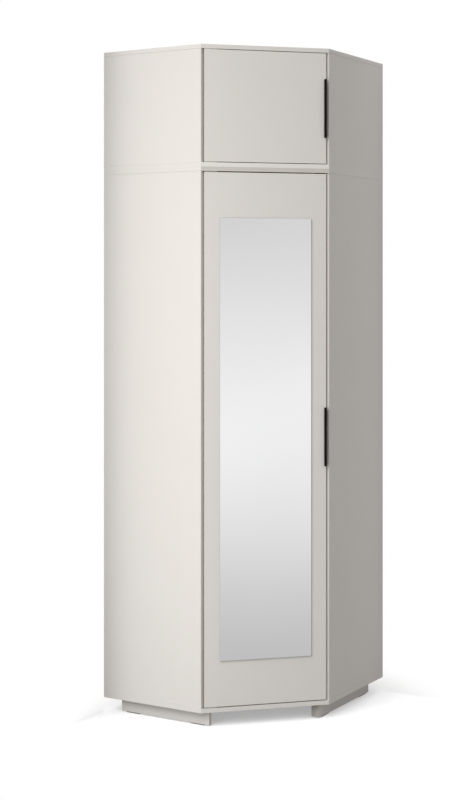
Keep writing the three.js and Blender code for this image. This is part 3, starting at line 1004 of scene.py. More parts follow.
@dataclass
class BandedBoard:
    """How a laminated board is edged: thickness of its band and roundness of its edges."""

    finishes: Finishes
    band: float = 0.8
    easing: float = 0.6
    smooth_angle: float = 30.0
    face_depth: float = 1.01

    def band_rule(self, edges: BandedEdges, flats: Vector) -> FaceRule:
        """Give faces on banded edges number 1, raw edges number 2 and the board's faces number 0.

        Args:
            edges: a point on each banded edge with the edge's outward normal.
            flats: the direction that the board's two faces look along.

        Returns:
            The rule that Bench.dress takes.
        """
        depth = self.band * MM * self.face_depth

        def rule(centre: Vector, normal: Vector) -> int:
            """Number one face."""
            if any((point - centre).dot(out) < depth for point, out in edges):
                return 1
            return 0 if abs(normal.dot(flats)) > FACING_TEST else 2

        return rule

    def finish(self, board: Piece, edges: BandedEdges, flats: Vector, band: Material | None = None) -> None:
        """Round a board's edges, mark its bands and give it its materials.

        Args:
            board: the board in its full shape.
            edges: a point on each banded edge with the edge's outward normal.
            flats: the direction that the board's two faces look along.
            band: the band's finish, where it isn't the usual one.
        """
        Bench.ease_edges(board, self.easing)
        for point, out in edges:
            Bench.saw(board, point - out * self.band * MM, out)
        materials = [self.finishes.board, band or self.finishes.band, self.finishes.chipboard]
        Bench.dress(board, materials, self.band_rule(edges, flats))
        Bench.smooth(board, self.smooth_angle)


@dataclass
class CarcassUnit:
    """One of the two units: side panels, top and bottom boards, back sheets and a corner post."""

    name: str
    finishes: Finishes
    front: SlantedFront
    pin_bore: float = 2.7
    pin_play: float = 0.3
    connector_bore: float = 4.3
    joint_hairline: float = 0.25
    sheet_inset: float = 1.5
    sheet_easing: float = 0.3
    nail_spacing: float = 140.0
    nail_inset: float = 8.0
    nail_radius: float = 2.8
    nail_height: float = 0.5
    nail_easing: float = 0.15
    nail_sides: int = 12
    post_easing: float = 1.5

    def bore_for_pins(self, panel: Piece, side: str, face: Vector) -> None:
        """Bore a lower side panel for its two shelf pins.

        Args:
            panel: the panel.
            side: left or right.
            face: a corner of the panel on its inner face.
        """
        for place in ("front", "wall"):
            low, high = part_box(f"shelf_pin_{side}_{place}")
            middle = (low + high) / 2
            if side == "left":
                start, towards, depth = Vector((middle.x, face.y, middle.z)), MINUS_Y, face.y - low.y
            else:
                start, towards, depth = Vector((face.x, middle.y, middle.z)), PLUS_X, high.x - face.x
            Bench.cut_out(panel, [Bench.drill(self.pin_bore, start, towards, depth + self.pin_play * MM)])

    def side_panels(self) -> None:
        """Make both side panels, banded on the front edge and bored for the shelf pins."""
        # Painted light on the left panels' front ends, painted shade on the right panels' front ends.
        for side, out, flats, band in (
            ("left", PLUS_X, PLUS_Y, self.finishes.painted_light_band),
            ("right", MINUS_Y, PLUS_X, self.finishes.painted_shade_band),
        ):
            node = f"{self.name}_{side}_side"
            low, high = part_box(node)
            panel = Bench.block(f"board_{node}", low, high - to_metres(0, 0, self.joint_hairline))
            edge = high if side == "left" else low
            if self.name == "lower":
                self.bore_for_pins(panel, side, edge)
            BandedBoard(self.finishes).finish(panel, [(edge, out)], flats, band)
            register(panel, "cabinet", Slot.LAMINATE, node)

    def flat_boards(self) -> None:
        """Make the five-sided top and bottom boards, banded on their three outer edges."""
        out = self.front.outwards
        for level in ("bottom", "top"):
            node = f"{self.name}_{level}_board"
            low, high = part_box(node)
            board = Bench.block(f"board_{node}", low, high)
            Bench.saw(board, self.front.left, out, remove=True)
            between_units = (self.name == "lower") == (level == "top")
            if between_units:
                for screw in nodes_named("unit_connector_"):
                    middle = sum(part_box(screw), Vector((0, 0, 0))) / 2
                    start = Vector((middle.x, middle.y, high.z))
                    depth = high.z - low.z + CUT_OVERRUN * MM
                    Bench.cut_out(board, [Bench.drill(self.connector_bore, start, DOWN, depth)])
            edges = [(low, MINUS_Y), (self.front.left, out), (high, PLUS_X)]
            BandedBoard(self.finishes).finish(board, edges, UP)
            if between_units:
                # Between the units, painted shade on the lower unit's top front and painted light on the
                # upper unit's bottom front.
                band = self.finishes.painted_shade_band if self.name == "lower" else self.finishes.painted_light_upper_band
                Bench.patch(board, band, lambda centre, normal: normal.dot(out) > FRONT_TEST)
            register(board, "cabinet", Slot.LAMINATE, node)

    def back_sheets(self) -> None:
        """Make both back sheets, lacquered inside, with the nails that hold them."""
        for side, out in (("left", MINUS_X), ("right", PLUS_Y)):
            node = f"{self.name}_back_{side}"
            low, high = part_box(node)
            inset = (Vector((out.y, -out.x, 0)) + UP) * self.sheet_inset * MM
            sheet_low, sheet_high = low + inset, high - inset
            if side == "left":
                sheet_low.x += self.nail_height * MM
            else:
                sheet_high.y -= self.nail_height * MM
            sheet = Bench.block(f"sheet_{node}", sheet_low, sheet_high)
            Bench.ease_edges(sheet, self.sheet_easing, steps=1)
            Bench.dress(
                sheet,
                [self.finishes.hardboard_face, self.finishes.hardboard_back],
                lambda centre, normal, out=out: 1 if normal.dot(out) > FACING_TEST else 0,
            )
            register(sheet, "cabinet", Slot.FIBREBOARD, node)
            register(self.nails(f"nails_{node}", low, high, out), "cabinet", Slot.STEEL)

    def nails(self, name: str, low: Vector, high: Vector, out: Vector) -> Piece:
        """Make the flat nail heads round a back sheet.

        Args:
            name: the piece's name.
            low: the sheet's lowest corner.
            high: the sheet's highest corner.
            out: the direction away from the wardrobe.

        Returns:
            The nail heads as one piece, flush with the sheet's CAD face.
        """
        head = Bench.disc("nail", self.nail_radius * MM, self.nail_height * MM, self.nail_sides)
        Bench.ease_edges(head, self.nail_easing, steps=1)
        Bench.dress(head, [self.finishes.zinc])
        along = 1 if abs(out.x) > FACING_TEST else 0
        rows = []
        for axis in (along, 2):
            start, end = low[axis] + self.nail_inset * MM, high[axis] - self.nail_inset * MM
            count = max(2, round((end - start) / (self.nail_spacing * MM)))
            rows.append([start + (end - start) * step / count for step in range(count + 1)])
        across, levels = rows
        places = [(place, level) for place in across for level in (levels[0], levels[-1])]
        places += [(place, level) for level in levels[1:-1] for place in (across[0], across[-1])]
        face = (low if out.x < 0 else high) - out * self.nail_height * MM
        heads = []
        for index, (place, level) in enumerate(places):
            point = Vector((face.x, place, level)) if along == 1 else Vector((place, face.y, level))
            heads.append(Bench.twin(head, f"nail_{index}", Matrix.Translation(point) @ facing(out)))
        bpy.data.objects.remove(head, do_unlink=True)
        return Bench.gather(heads, name)

    def corner_posts(self) -> None:
        """Make the pine battens in the back corner."""
        nodes = ["lower_corner_post", "shelf_corner_post"] if self.name == "lower" else ["upper_corner_post"]
        for node in nodes:
            post = Bench.block(f"batten_{node}", *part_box(node))
            Bench.ease_edges(post, self.post_easing, steps=3)
            Bench.dress(post, [self.finishes.pine])
            Bench.smooth(post)
            register(post, "cabinet", Slot.PINE, node)

    def build(self) -> None:
        """Make the whole unit."""
        self.side_panels()
        self.flat_boards()
        self.back_sheets()
        self.corner_posts()


@dataclass
class Plinth:
    """Boards on edge under the lower unit, with moulded glides."""

    finishes: Finishes
    glide_easing: float = 0.8
    nail_recess: float = 1.2
    nail_radius: float = 3.0
    nail_shares: tuple[float, float] = (0.25, 0.75)

    def boards(self) -> None:
        """Make the plinth boards, banded at both ends and along the lower edge."""
        for node in ("plinth_left", "plinth_rear", "plinth_right_outer", "plinth_right_inner"):
            low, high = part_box(node)
            board = Bench.block(f"board_{node}", low, high)
            # The right plinth boards take the band with painted shade.
            if "right" in node:
                ends, flats, band = PLUS_Y, PLUS_X, self.finishes.plinth_painted_shade_band
            else:
                ends, flats, band = PLUS_X, PLUS_Y, self.finishes.band
            edges = [(high, ends), (low, -ends), (low, DOWN)]
            BandedBoard(self.finishes).finish(board, edges, flats, band)
            register(board, "cabinet", Slot.LAMINATE, node)

    def glides(self) -> None:
        """Make the glides, each with two nail recesses in its sole."""
        for node in nodes_named("glide_"):
            low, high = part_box(node)
            glide = Bench.block(f"sole_{node}", low, high)
            size = high - low
            axis = 0 if size.x > size.y else 1
            Bench.ease_edges(glide, self.glide_easing, steps=3)
            holes = []
            for share in self.nail_shares:
                start = (low + high) / 2
                start[axis] = low[axis] + size[axis] * share
                start.z = low.z
                holes.append(Bench.drill(self.nail_radius, start, UP, self.nail_recess * MM))
            Bench.cut_out(glide, holes)
            Bench.dress(glide, [self.finishes.dark_plastic])
            Bench.smooth(glide)
            register(glide, "cabinet", Slot.DARK_PLASTIC, node)

    def build(self) -> None:
        """Make the plinth and its glides."""
        self.boards()
        self.glides()


@dataclass
class Interior:
    """Hat shelf and hanging rail."""

    finishes: Finishes
    front: SlantedFront
    rail_wall: float = 1.2
    rail_easing: float = 0.3
    rail_crisp_angle: float = 50.0
    rail_sides: int = 48

    def shelf(self) -> None:
        """Make the hat shelf, its slanted edge banded."""
        shelf = Bench.block("board_hat_shelf", *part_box("hat_shelf"))
        out = self.front.outwards
        edge = out * max(vertex.co.dot(out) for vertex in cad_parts["hat_shelf"].data.vertices)
        Bench.saw(shelf, edge, out, remove=True)
        BandedBoard(self.finishes).finish(shelf, [(edge, out)], UP)
        register(shelf, "cabinet", Slot.LAMINATE, "hat_shelf")

    def rail(self) -> None:
        """Make the oval rail as a drawn tube with eased ends."""
        low, high = self.front.local_box("hanging_rail")
        bpy.ops.object.select_all(action="DESELECT")
        bpy.ops.mesh.primitive_cylinder_add(
            vertices=self.rail_sides,
            radius=0.5,
            depth=1,
            end_fill_type="NOTHING",
            rotation=(0, math.pi / 2, 0),
        )
        rail = Bench.take("tube_hanging_rail")
        Bench.settle(rail, Matrix.Diagonal((*(high - low), 1)))
        Bench.apply(rail, "SOLIDIFY", thickness=self.rail_wall * MM, offset=-1, use_even_offset=True)
        Bench.ease_edges(rail, self.rail_easing, angle=self.rail_crisp_angle)
        Bench.settle(rail, self.front.place() @ Matrix.Translation((low + high) / 2))
        Bench.dress(rail, [self.finishes.chrome])
        Bench.smooth(rail)
        register(rail, "cabinet", Slot.CHROME, "hanging_rail")

    def build(self) -> None:
        """Make everything behind the lower door."""
        self.shelf()
        self.rail()


@dataclass
class DoorLeaf:
    """One door: its banded panel, cut for its hardware, and its edge pull.

    The pocket is u and v from and to, from the panel's corner; end_reach is how much longer than the
    CAD's the panel is at each end.
    """

    name: str
    finishes: Finishes
    front: SlantedFront
    notch_depth: float = 1.7
    notch_length: float = 218.6
    pocket: tuple[float, float, float, float] = (1.2, 49.8, 1.2, 14.3)
    pocket_depth: float = 2.7
    socket_radius: float = 4.1
    socket_depth: float = 12.3
    pivot: tuple[float, float] = (6.0, 5.0)
    nose_depth: float = 7.2
    nose_gap: float = 0.3
    wall: float = 1.4
    groove: float = 1.8
    groove_steps: int = 12
    nose_round: float = 1.2
    pull_easing: float = 0.25
    pull_crisp_angle: float = 50.0
    end_reach: float = 0.0

    @property
    def body(self) -> str:
        """The name of the body that the door rides on."""
        return f"{self.name}_door_leaf"

    def cutters(self, low: Vector, high: Vector) -> list[Piece]:
        """Make what is cut from the panel: hinge pockets, socket bores and the notch for the pull.

        Args:
            low: the panel's lowest corner in the front's frame.
            high: its highest corner.

        Returns:
            The cutters.
        """
        run, reach = CUT_OVERRUN * MM, self.end_reach * MM
        u0, u1, v0, v1 = (part * MM for part in self.pocket)
        cutters = []
        for level, inwards in ((low.z, UP), (high.z, DOWN)):
            inner = level + inwards.z * (self.pocket_depth * MM + reach)
            outer = level - inwards.z * run
            pocket_low = Vector((low.x + u0, low.y + v0, min(inner, outer)))
            pocket_high = Vector((low.x + u1, low.y + v1, max(inner, outer)))
            cutters.append(Bench.block("pocket", pocket_low, pocket_high))
            start = Vector((low.x + self.pivot[0] * MM, low.y + self.pivot[1] * MM, level))
            cutters.append(Bench.drill(self.socket_radius, start, inwards, self.socket_depth * MM + reach))
        middle, half = (low.z + high.z) / 2, self.notch_length * MM / 2
        notch_low = Vector((high.x - self.notch_depth * MM, low.y - run, middle - half))
        cutters.append(Bench.block("notch", notch_low, Vector((high.x + run, high.y + run, middle + half))))
        return cutters

    def panel(self) -> None:
        """Make the door panel with its pockets, socket bores and the notch for the pull."""
        node = f"{self.name}_door"
        low, high = self.front.local_box(node)
        low.z -= self.end_reach * MM
        high.z += self.end_reach * MM
        panel = Bench.block(f"panel_{node}", low, high)
        Bench.cut_out(panel, self.cutters(low, high))
        edges = [(low, MINUS_X), (high, PLUS_X), (low, DOWN), (high, UP)]
        BandedBoard(self.finishes).finish(panel, edges, PLUS_Y)
        # Painted shade on the band of the door's left edge, where the gap beside it falls in shade.
        Bench.patch(
            panel,
            self.finishes.gap_painted_shade_band,
            lambda centre, normal: normal.x < -FLAT_TEST and centre.x < low.x + MM,
        )
        Bench.settle(panel, self.front.place())
        register(panel, self.body, Slot.LAMINATE, node)

    def groove_nose(self, pull: Piece, left: float, first: float, last: float) -> None:
        """Press the finger groove into the nose's left face.

        Args:
            pull: the pull's profile in the front's frame.
            left: u of the face.
            first: v where the groove begins.
            last: v where it ends.
        """
        levels = [first + (last - first) * step / self.groove_steps for step in range(self.groove_steps + 1)]
        for level in levels:
            Bench.saw(pull, Vector((0, level, 0)), PLUS_Y)
        for step, level in enumerate(levels):
            depth = self.groove * MM * math.sin(math.pi * step / self.groove_steps)

            def on_line(edge: bmesh.types.BMEdge, level: float = level) -> bool:
                """Whether an edge lies on the face at this level."""
                return all(
                    abs(vertex.co.y - level) < ON_LINE and abs(vertex.co.x - left) < ON_LINE
                    for vertex in edge.verts
                )

            if depth > ON_LINE:
                Bench.choose(pull, Pick.EDGE, on_line)
                bpy.ops.transform.translate(value=(depth, 0, 0))
                Bench.leave()

    def pull(self) -> None:
        """Make the edge pull: a nose with a finger groove, a web and a flange, as one extrusion."""
        node = f"{self.name}_handle"
        low, high = self.front.local_box(node)
        nose_left = high.x - self.nose_depth * MM
        nose_back = self.front.local_box(f"{self.name}_door")[0].y - self.nose_gap * MM
        web_u, web_back = high.x - self.wall * MM, high.y - self.wall * MM
        nose_low, nose_high = Vector((nose_left, low.y, low.z)), Vector((high.x, nose_back, high.z))
        pull = Bench.block(f"profile_{node}", nose_low, nose_high)
        Bench.saw(pull, Vector((web_u, 0, 0)), PLUS_X)

        def on_web(face: bmesh.types.BMFace) -> bool:
            """Whether a face is the back of the web."""
            return face.normal.dot(PLUS_Y) > FLAT_TEST and face.calc_center_median().x > web_u

        def on_flange(face: bmesh.types.BMFace) -> bool:
            """Whether a face is the side of the web that the flange grows from."""
            return face.normal.x < -FLAT_TEST and face.calc_center_median().y > web_back

        for test, step in (
            (on_web, (0, web_back - nose_back, 0)),
            (on_web, (0, self.wall * MM, 0)),
            (on_flange, (low.x - web_u, 0, 0)),
        ):
            Bench.choose(pull, Pick.FACE, test)
            Bench.extrude(step)
            Bench.leave()
        self.groove_nose(pull, nose_left, low.y + 2 * self.nose_round * MM, nose_back - self.nose_round * MM)

        def front_corner(edge: bmesh.types.BMEdge) -> bool:
            """Whether an edge is one of the nose's two upright front corners."""
            at_front = all(abs(vertex.co.y - low.y) < SAME_PLACE for vertex in edge.verts)
            at_side = any(abs(edge.verts[0].co.x - u) < SAME_PLACE for u in (nose_left, high.x))
            return abs(edge_run(edge).z) > FLAT_TEST and at_front and at_side

        Bench.bevel(pull, front_corner, self.nose_round, steps=5)
        Bench.ease_edges(pull, self.pull_easing, angle=self.pull_crisp_angle)
        Bench.settle(pull, self.front.place())
        Bench.dress(pull, [self.finishes.aluminium])
        Bench.smooth(pull)
        register(pull, self.body, Slot.BLACK_ALUMINIUM, node)

    def build(self) -> None:
        """Make the door and its pull."""
        self.panel()
        self.pull()


@dataclass
class DoorMirror:
    """The mirror glued to the lower door: silvered face, ground arris and painted back."""

    finishes: Finishes
    front: SlantedFront
    arris: float = 1.0

    def number_face(self, centre: Vector, normal: Vector) -> int:
        """Give the silvered face number 0, the arris number 1 and the back number 2.

        Args:
            centre: the face's centre, which makes no difference.
            normal: its normal.

        Returns:
            Its number.
        """
        ahead = normal.dot(self.front.outwards)
        return 0 if ahead > FLAT_TEST else 2 if ahead < -FLAT_TEST else 1

    def build(self) -> None:
        """Make the pane, chamfer its edges and dress face, arris and back."""
        pane = Bench.block("pane_door_mirror", *self.front.local_box("door_mirror"))
        Bench.bevel(pane, lambda edge: True, self.arris, steps=1)
        Bench.settle(pane, self.front.place())
        materials = [self.finishes.mirror, self.finishes.glass_edge, self.finishes.mirror_back]
        Bench.dress(pane, materials, self.number_face)
        register(pane, "lower_door_leaf", Slot.MIRROR, "door_mirror")


@dataclass
class CrossRecessScrew:
    """Screw heads with a cross recess; a countersunk one lies flush in what it holds."""

    finishes: Finishes
    radius: float = 3.2
    height: float = 1.6
    foot_share: float = 0.5
    cone_share: float = 0.88
    recess_length: float = 3.6
    recess_width: float = 0.8
    recess_depth: float = 0.9
    clearance: float = 0.15
    seat_drop: float = 0.3
    sides: int = 24

    def head(self, name: str) -> Piece:
        """Make a countersunk head that stands on the origin and looks up.

        Args:
            name: its name.

        Returns:
            The head.
        """
        radius, height = self.radius, self.height
        profile = [(radius * self.foot_share, 0), (radius, height * self.cone_share), (radius, height)]
        head = Bench.turned(name, profile, self.sides)
        self.recess(head, height)
        Bench.dress(head, [self.finishes.zinc])
        Bench.smooth(head)
        return head

    def recess(self, head: Piece, top: float) -> None:
        """Cut a cross recess into a head, down from its top.

        Args:
            head: the head, upright round the z axis.
            top: the level of its top in millimetres.
        """
        length, width = self.recess_length / 2, self.recess_width / 2
        low, high = top - self.recess_depth, top + BORE_OVERRUN
        cutters = [
            Bench.block(name, to_metres(-x, -y, low), to_metres(x, y, high))
            for name, x, y in (("slot_along", length, width), ("slot_across", width, length))
        ]
        Bench.cut_out(head, cutters)

    def countersink(self, name: str) -> Piece:
        """Make the cutter that leaves room for a countersunk head.

        Args:
            name: its name.

        Returns:
            The cutter.
        """
        radius, height = self.radius + self.clearance, self.height
        profile = [(radius * self.foot_share, -self.seat_drop), (radius, height * self.cone_share)]
        return Bench.turned(name, [*profile, (radius, height + BORE_OVERRUN)], self.sides)

    def fit(self, plate: Piece, places: Sequence[Matrix], name: str) -> Piece:
        """Countersink a plate and drive a screw into each place.

        Args:
            plate: the plate, still in its own frame.
            places: where each head's foot stands, with its top flush with the plate.
            name: the name of the plate with its screws.

        Returns:
            Plate and screws as one piece.
        """
        Bench.cut_out(plate, [Bench.settle(self.countersink("countersink"), place) for place in places])
        Bench.smooth(plate)
        heads = [Bench.settle(self.head("head"), place) for place in places]
        return Bench.gather([plate, *heads], name)


@dataclass
class PivotHinge:
    """The hinge at one end of a door: a fixed leaf with a pin, a leaf with a socket, and a washer below."""

    unit: str
    end: str
    finishes: Finishes
    front: SlantedFront
    margin: float = 1.5
    size: tuple[float, float, float] = (48.0, 12.5, 2.4)
    corner: float = 2.2
    easing: float = 0.3
    pin: tuple[float, float] = (6.0, 5.0)
    pin_radius: float = 2.5
    pin_height: float = 13.0
    pin_chamfer: float = 0.7
    root: float = 0.4
    bore_radius: float = 2.8
    socket_radius: float = 3.8
    socket_height: float = 12.0
    washer_radius: float = 4.5
    washer_easing: float = 0.25
    screws: tuple[float, float] = (21.0, 41.0)
    sides: int = 40

    def level(self, node: str) -> Matrix:
        """Find where a leaf lies.

        Args:
            node: the leaf's CAD node.

        Returns:
            The frame of its outer face, turned over for the door's upper end.
        """
        low, high = self.front.local_box(node)
        start = self.front.local_box(f"{self.unit}_{self.end}_pivot_leaf")[0]
        along, across = start.x - self.margin * MM, start.y - self.margin * MM
        if self.end == "bottom":
            return self.front.place(along, across, low.z)
        return self.front.place(along, across, high.z) @ Matrix.Diagonal((1, 1, -1, 1))

    def round_bar(self, name: str, profile: Profile) -> Piece:
        """A round solid on the axis of the pin, in the hinge's frame."""
        bar = Bench.turned(name, profile, self.sides)
        return Bench.settle(bar, shift(*self.pin, 0))

    def bore(self, height: float) -> Profile:
        """The profile of the bore through something of a height."""
        return [(self.bore_radius, -BORE_OVERRUN), (self.bore_radius, height + BORE_OVERRUN)]

    def leaf(self, name: str) -> Piece:
        """A flat leaf with rounded corners, lying in the hinge's frame."""
        leaf = Bench.plate(name, to_metres(*self.size), self.corner)
        return Bench.settle(leaf, shift(self.margin, self.margin, 0))

    def finish(self, leaf: Piece, node: str, body: str, screws_up: bool) -> None:
        """Ease a leaf, drive its two screws and put it in its place.

        Args:
            leaf: the leaf in the hinge's frame.
            node: the leaf's CAD node.
            body: the body that it rides on.
            screws_up: whether the screws are flush with its upper face, or with its lower one.
        """
        Bench.ease_edges(leaf, self.easing)
        Bench.dress(leaf, [self.finishes.zinc])
        screw = CrossRecessScrew(self.finishes)
        across = self.margin + self.size[1] / 2
        foot = self.size[2] - screw.height if screws_up else screw.height
        turn = Matrix() if screws_up else FLIP
        places = [shift(along, across, foot) @ turn for along in self.screws]
        leaf = screw.fit(leaf, places, f"leaf_{node}")
        Bench.settle(leaf, self.level(node))
        register(leaf, body, Slot.STEEL, node)

    def pivot_leaf(self) -> None:
        """Make the leaf on the board: plate, chamfered pin and two screws."""
        node = f"{self.unit}_{self.end}_pivot_leaf"
        leaf = self.leaf(f"plate_{node}")
        radius, top, chamfer = self.pin_radius, self.pin_height, self.pin_chamfer
        pin = self.round_bar("pin", [(radius, self.root), (radius, top - chamfer), (radius - chamfer, top)])
        Bench.cut_out(leaf, [pin], Cut.JOIN)
        self.finish(leaf, node, "cabinet", screws_up=True)

    def socket_leaf(self) -> None:
        """Make the leaf in the door's end: plate, socket tube and two screws from outside."""
        node = f"{self.unit}_{self.end}_socket_leaf"
        leaf = self.leaf(f"plate_{node}")
        profile = [(self.socket_radius, self.root), (self.socket_radius, self.socket_height)]
        Bench.cut_out(leaf, [self.round_bar("socket", profile)], Cut.JOIN)
        Bench.cut_out(leaf, [self.round_bar("bore", self.bore(self.socket_height))])
        self.finish(leaf, node, f"{self.unit}_door_leaf", screws_up=False)

    def washer(self) -> None:
        """Make the washer that carries the door's weight."""
        node = f"{self.unit}_thrust_washer"
        low, high = self.front.local_box(node)
        thick = (high.z - low.z) / MM
        profile = [(self.washer_radius, 0), (self.washer_radius, thick)]
        washer = Bench.turned(f"ring_{node}", profile, self.sides)
        Bench.cut_out(washer, [Bench.turned("bore", self.bore(thick), self.sides)])
        Bench.ease_edges(washer, self.washer_easing)
        Bench.dress(washer, [self.finishes.dark_plastic])
        Bench.smooth(washer)
        middle = (low + high) / 2
        Bench.settle(washer, self.front.place(middle.x, middle.y, low.z))
        register(washer, "cabinet", Slot.DARK_PLASTIC, node)

    def build(self) -> None:
        """Make the hinge, with its washer where it carries the door."""
        self.pivot_leaf()
        self.socket_leaf()
        if self.end == "bottom":
            self.washer()


@dataclass
class MagneticCatch:
    """A magnetic catch under the top board and its strike plate on the door's back."""

    unit: str
    finishes: Finishes
    front: SlantedFront
    base: tuple[float, float, float] = (54.0, 13.0, 2.5)
    body: tuple[float, float, float] = (34.0, 13.0, 12.0)
    corner: float = 3.0
    easing: float = 0.5
    plate_easing: float = 0.2
    window: tuple[float, float, float] = (27.0, 3.0, 8.0)
    pole: float = 1.5
    play: float = 0.25
    magnet_setback: float = 0.75
    ear_screw: float = 5.0
    plate_corner: float = 2.5
    dimple_from_end: float = 6.0
    dimple_radius: float = 1.1
    dimple_foot: float = 0.6
    dimple_depth: float = 0.4
    dimple_sides: int = 20

    def housing(self) -> Piece:
        """Make the moulded housing: base with two ears, and the body with a window for the magnet.

        Returns:
            The housing, which hangs below its own frame.
        """
        base_x, _, base_z = self.base
        body_x, body_y, body_z = self.body
        housing = Bench.plate("housing", to_metres(*self.base), self.corner)
        Bench.settle(housing, shift(0, 0, -base_z))
        start = (base_x - body_x) / 2
        low = to_metres(start, 0, -base_z - body_z)
        body = Bench.block("body", low, to_metres(start + body_x, body_y, -base_z / 2))
        Bench.cut_out(housing, [body], Cut.JOIN)
        window_x, window_y, window_z = self.window
        side = (base_x - window_x) / 2
        drop = -base_z - (body_z + window_z) / 2
        high = to_metres(side + window_x, window_y, drop + window_z)
        Bench.cut_out(housing, [Bench.block("window", to_metres(side, -BORE_OVERRUN, drop), high)])
        Bench.ease_edges(housing, self.easing, steps=3)
        Bench.dress(housing, [self.finishes.grey_plastic])
        return housing

    def magnet(self) -> list[Piece]:
        """Make the magnet between its two steel pole plates, in the housing's window.

        Returns:
            Both poles and the magnet.
        """
        window_x, window_y, window_z = self.window
        left = (self.base[0] - window_x) / 2 + self.play
        right = left + window_x - 2 * self.play
        low = -self.base[2] - (self.body[2] + window_z) / 2 + self.play
        high = low + window_z - 2 * self.play
        play, pole, zinc = self.play, self.pole, self.finishes.zinc
        pieces = []
        for name, start, end, material in (
            ("pole_low", (left, 0, low), (right, window_y, low + pole), zinc),
            ("pole_high", (left, 0, high - pole), (right, window_y, high), zinc),
            (
                "magnet",
                (left + play, self.magnet_setback, low + pole),
                (right - play, window_y, high - pole),
                self.finishes.ferrite,
            ),
        ):
            piece = Bench.block(name, to_metres(*start), to_metres(*end))
            Bench.ease_edges(piece, self.plate_easing)
            Bench.dress(piece, [material])
            pieces.append(piece)
        return pieces

    def catch(self) -> None:
        """Make the catch with its two screws, hung under the top board."""
        node = f"{self.unit}_catch"
        housing = self.housing()
        screw = CrossRecessScrew(self.finishes, radius=2.6, height=1.4, recess_length=3.0)
        foot = -self.base[2] + screw.height
        places = [
            shift(along, self.base[1] / 2, foot) @ FLIP
            for along in (self.ear_screw, self.base[0] - self.ear_screw)
        ]
        housing = screw.fit(housing, places, "housing")
        catch = Bench.gather([housing, *self.magnet()], f"magnetic_{node}")
        low, high = self.front.local_box(node)
        Bench.settle(catch, self.front.place(low.x, low.y, high.z))
        register(catch, "cabinet", Slot.GREY_PLASTIC, node)

    def strike(self) -> None:
        """Make the strike plate: rounded corners, a screw in the middle and a dimple at each end."""
        node = f"{self.unit}_strike"
        low, high = self.front.local_box(node)
        length, thick, height = (part / MM for part in high - low)
        plate = Bench.plate(f"plate_{node}", to_metres(length, height, thick), self.plate_corner)
        radius = self.dimple_radius
        profile = [(radius * self.dimple_foot, thick - self.dimple_depth), (radius, thick + BORE_OVERRUN)]
        dimples = []
        for along in (self.dimple_from_end, length - self.dimple_from_end):
            dimple = Bench.turned("dimple", profile, self.dimple_sides)
            dimples.append(Bench.settle(dimple, shift(along, height / 2, 0)))
        Bench.cut_out(plate, dimples)
        Bench.ease_edges(plate, self.plate_easing)
        Bench.dress(plate, [self.finishes.zinc])
        screw = CrossRecessScrew(self.finishes, radius=2.4, height=1.0, recess_length=2.8, recess_depth=0.6)
        place = shift(length / 2, height / 2, thick - screw.height)
        plate = screw.fit(plate, [place], f"strike_{node}")
        Bench.settle(plate, self.front.place(low.x, low.y, high.z) @ LIE_BACK)
        register(plate, f"{self.unit}_door_leaf", Slot.STEEL, node)

    def build(self) -> None:
        """Make the catch and its strike plate."""
        self.catch()
        self.strike()


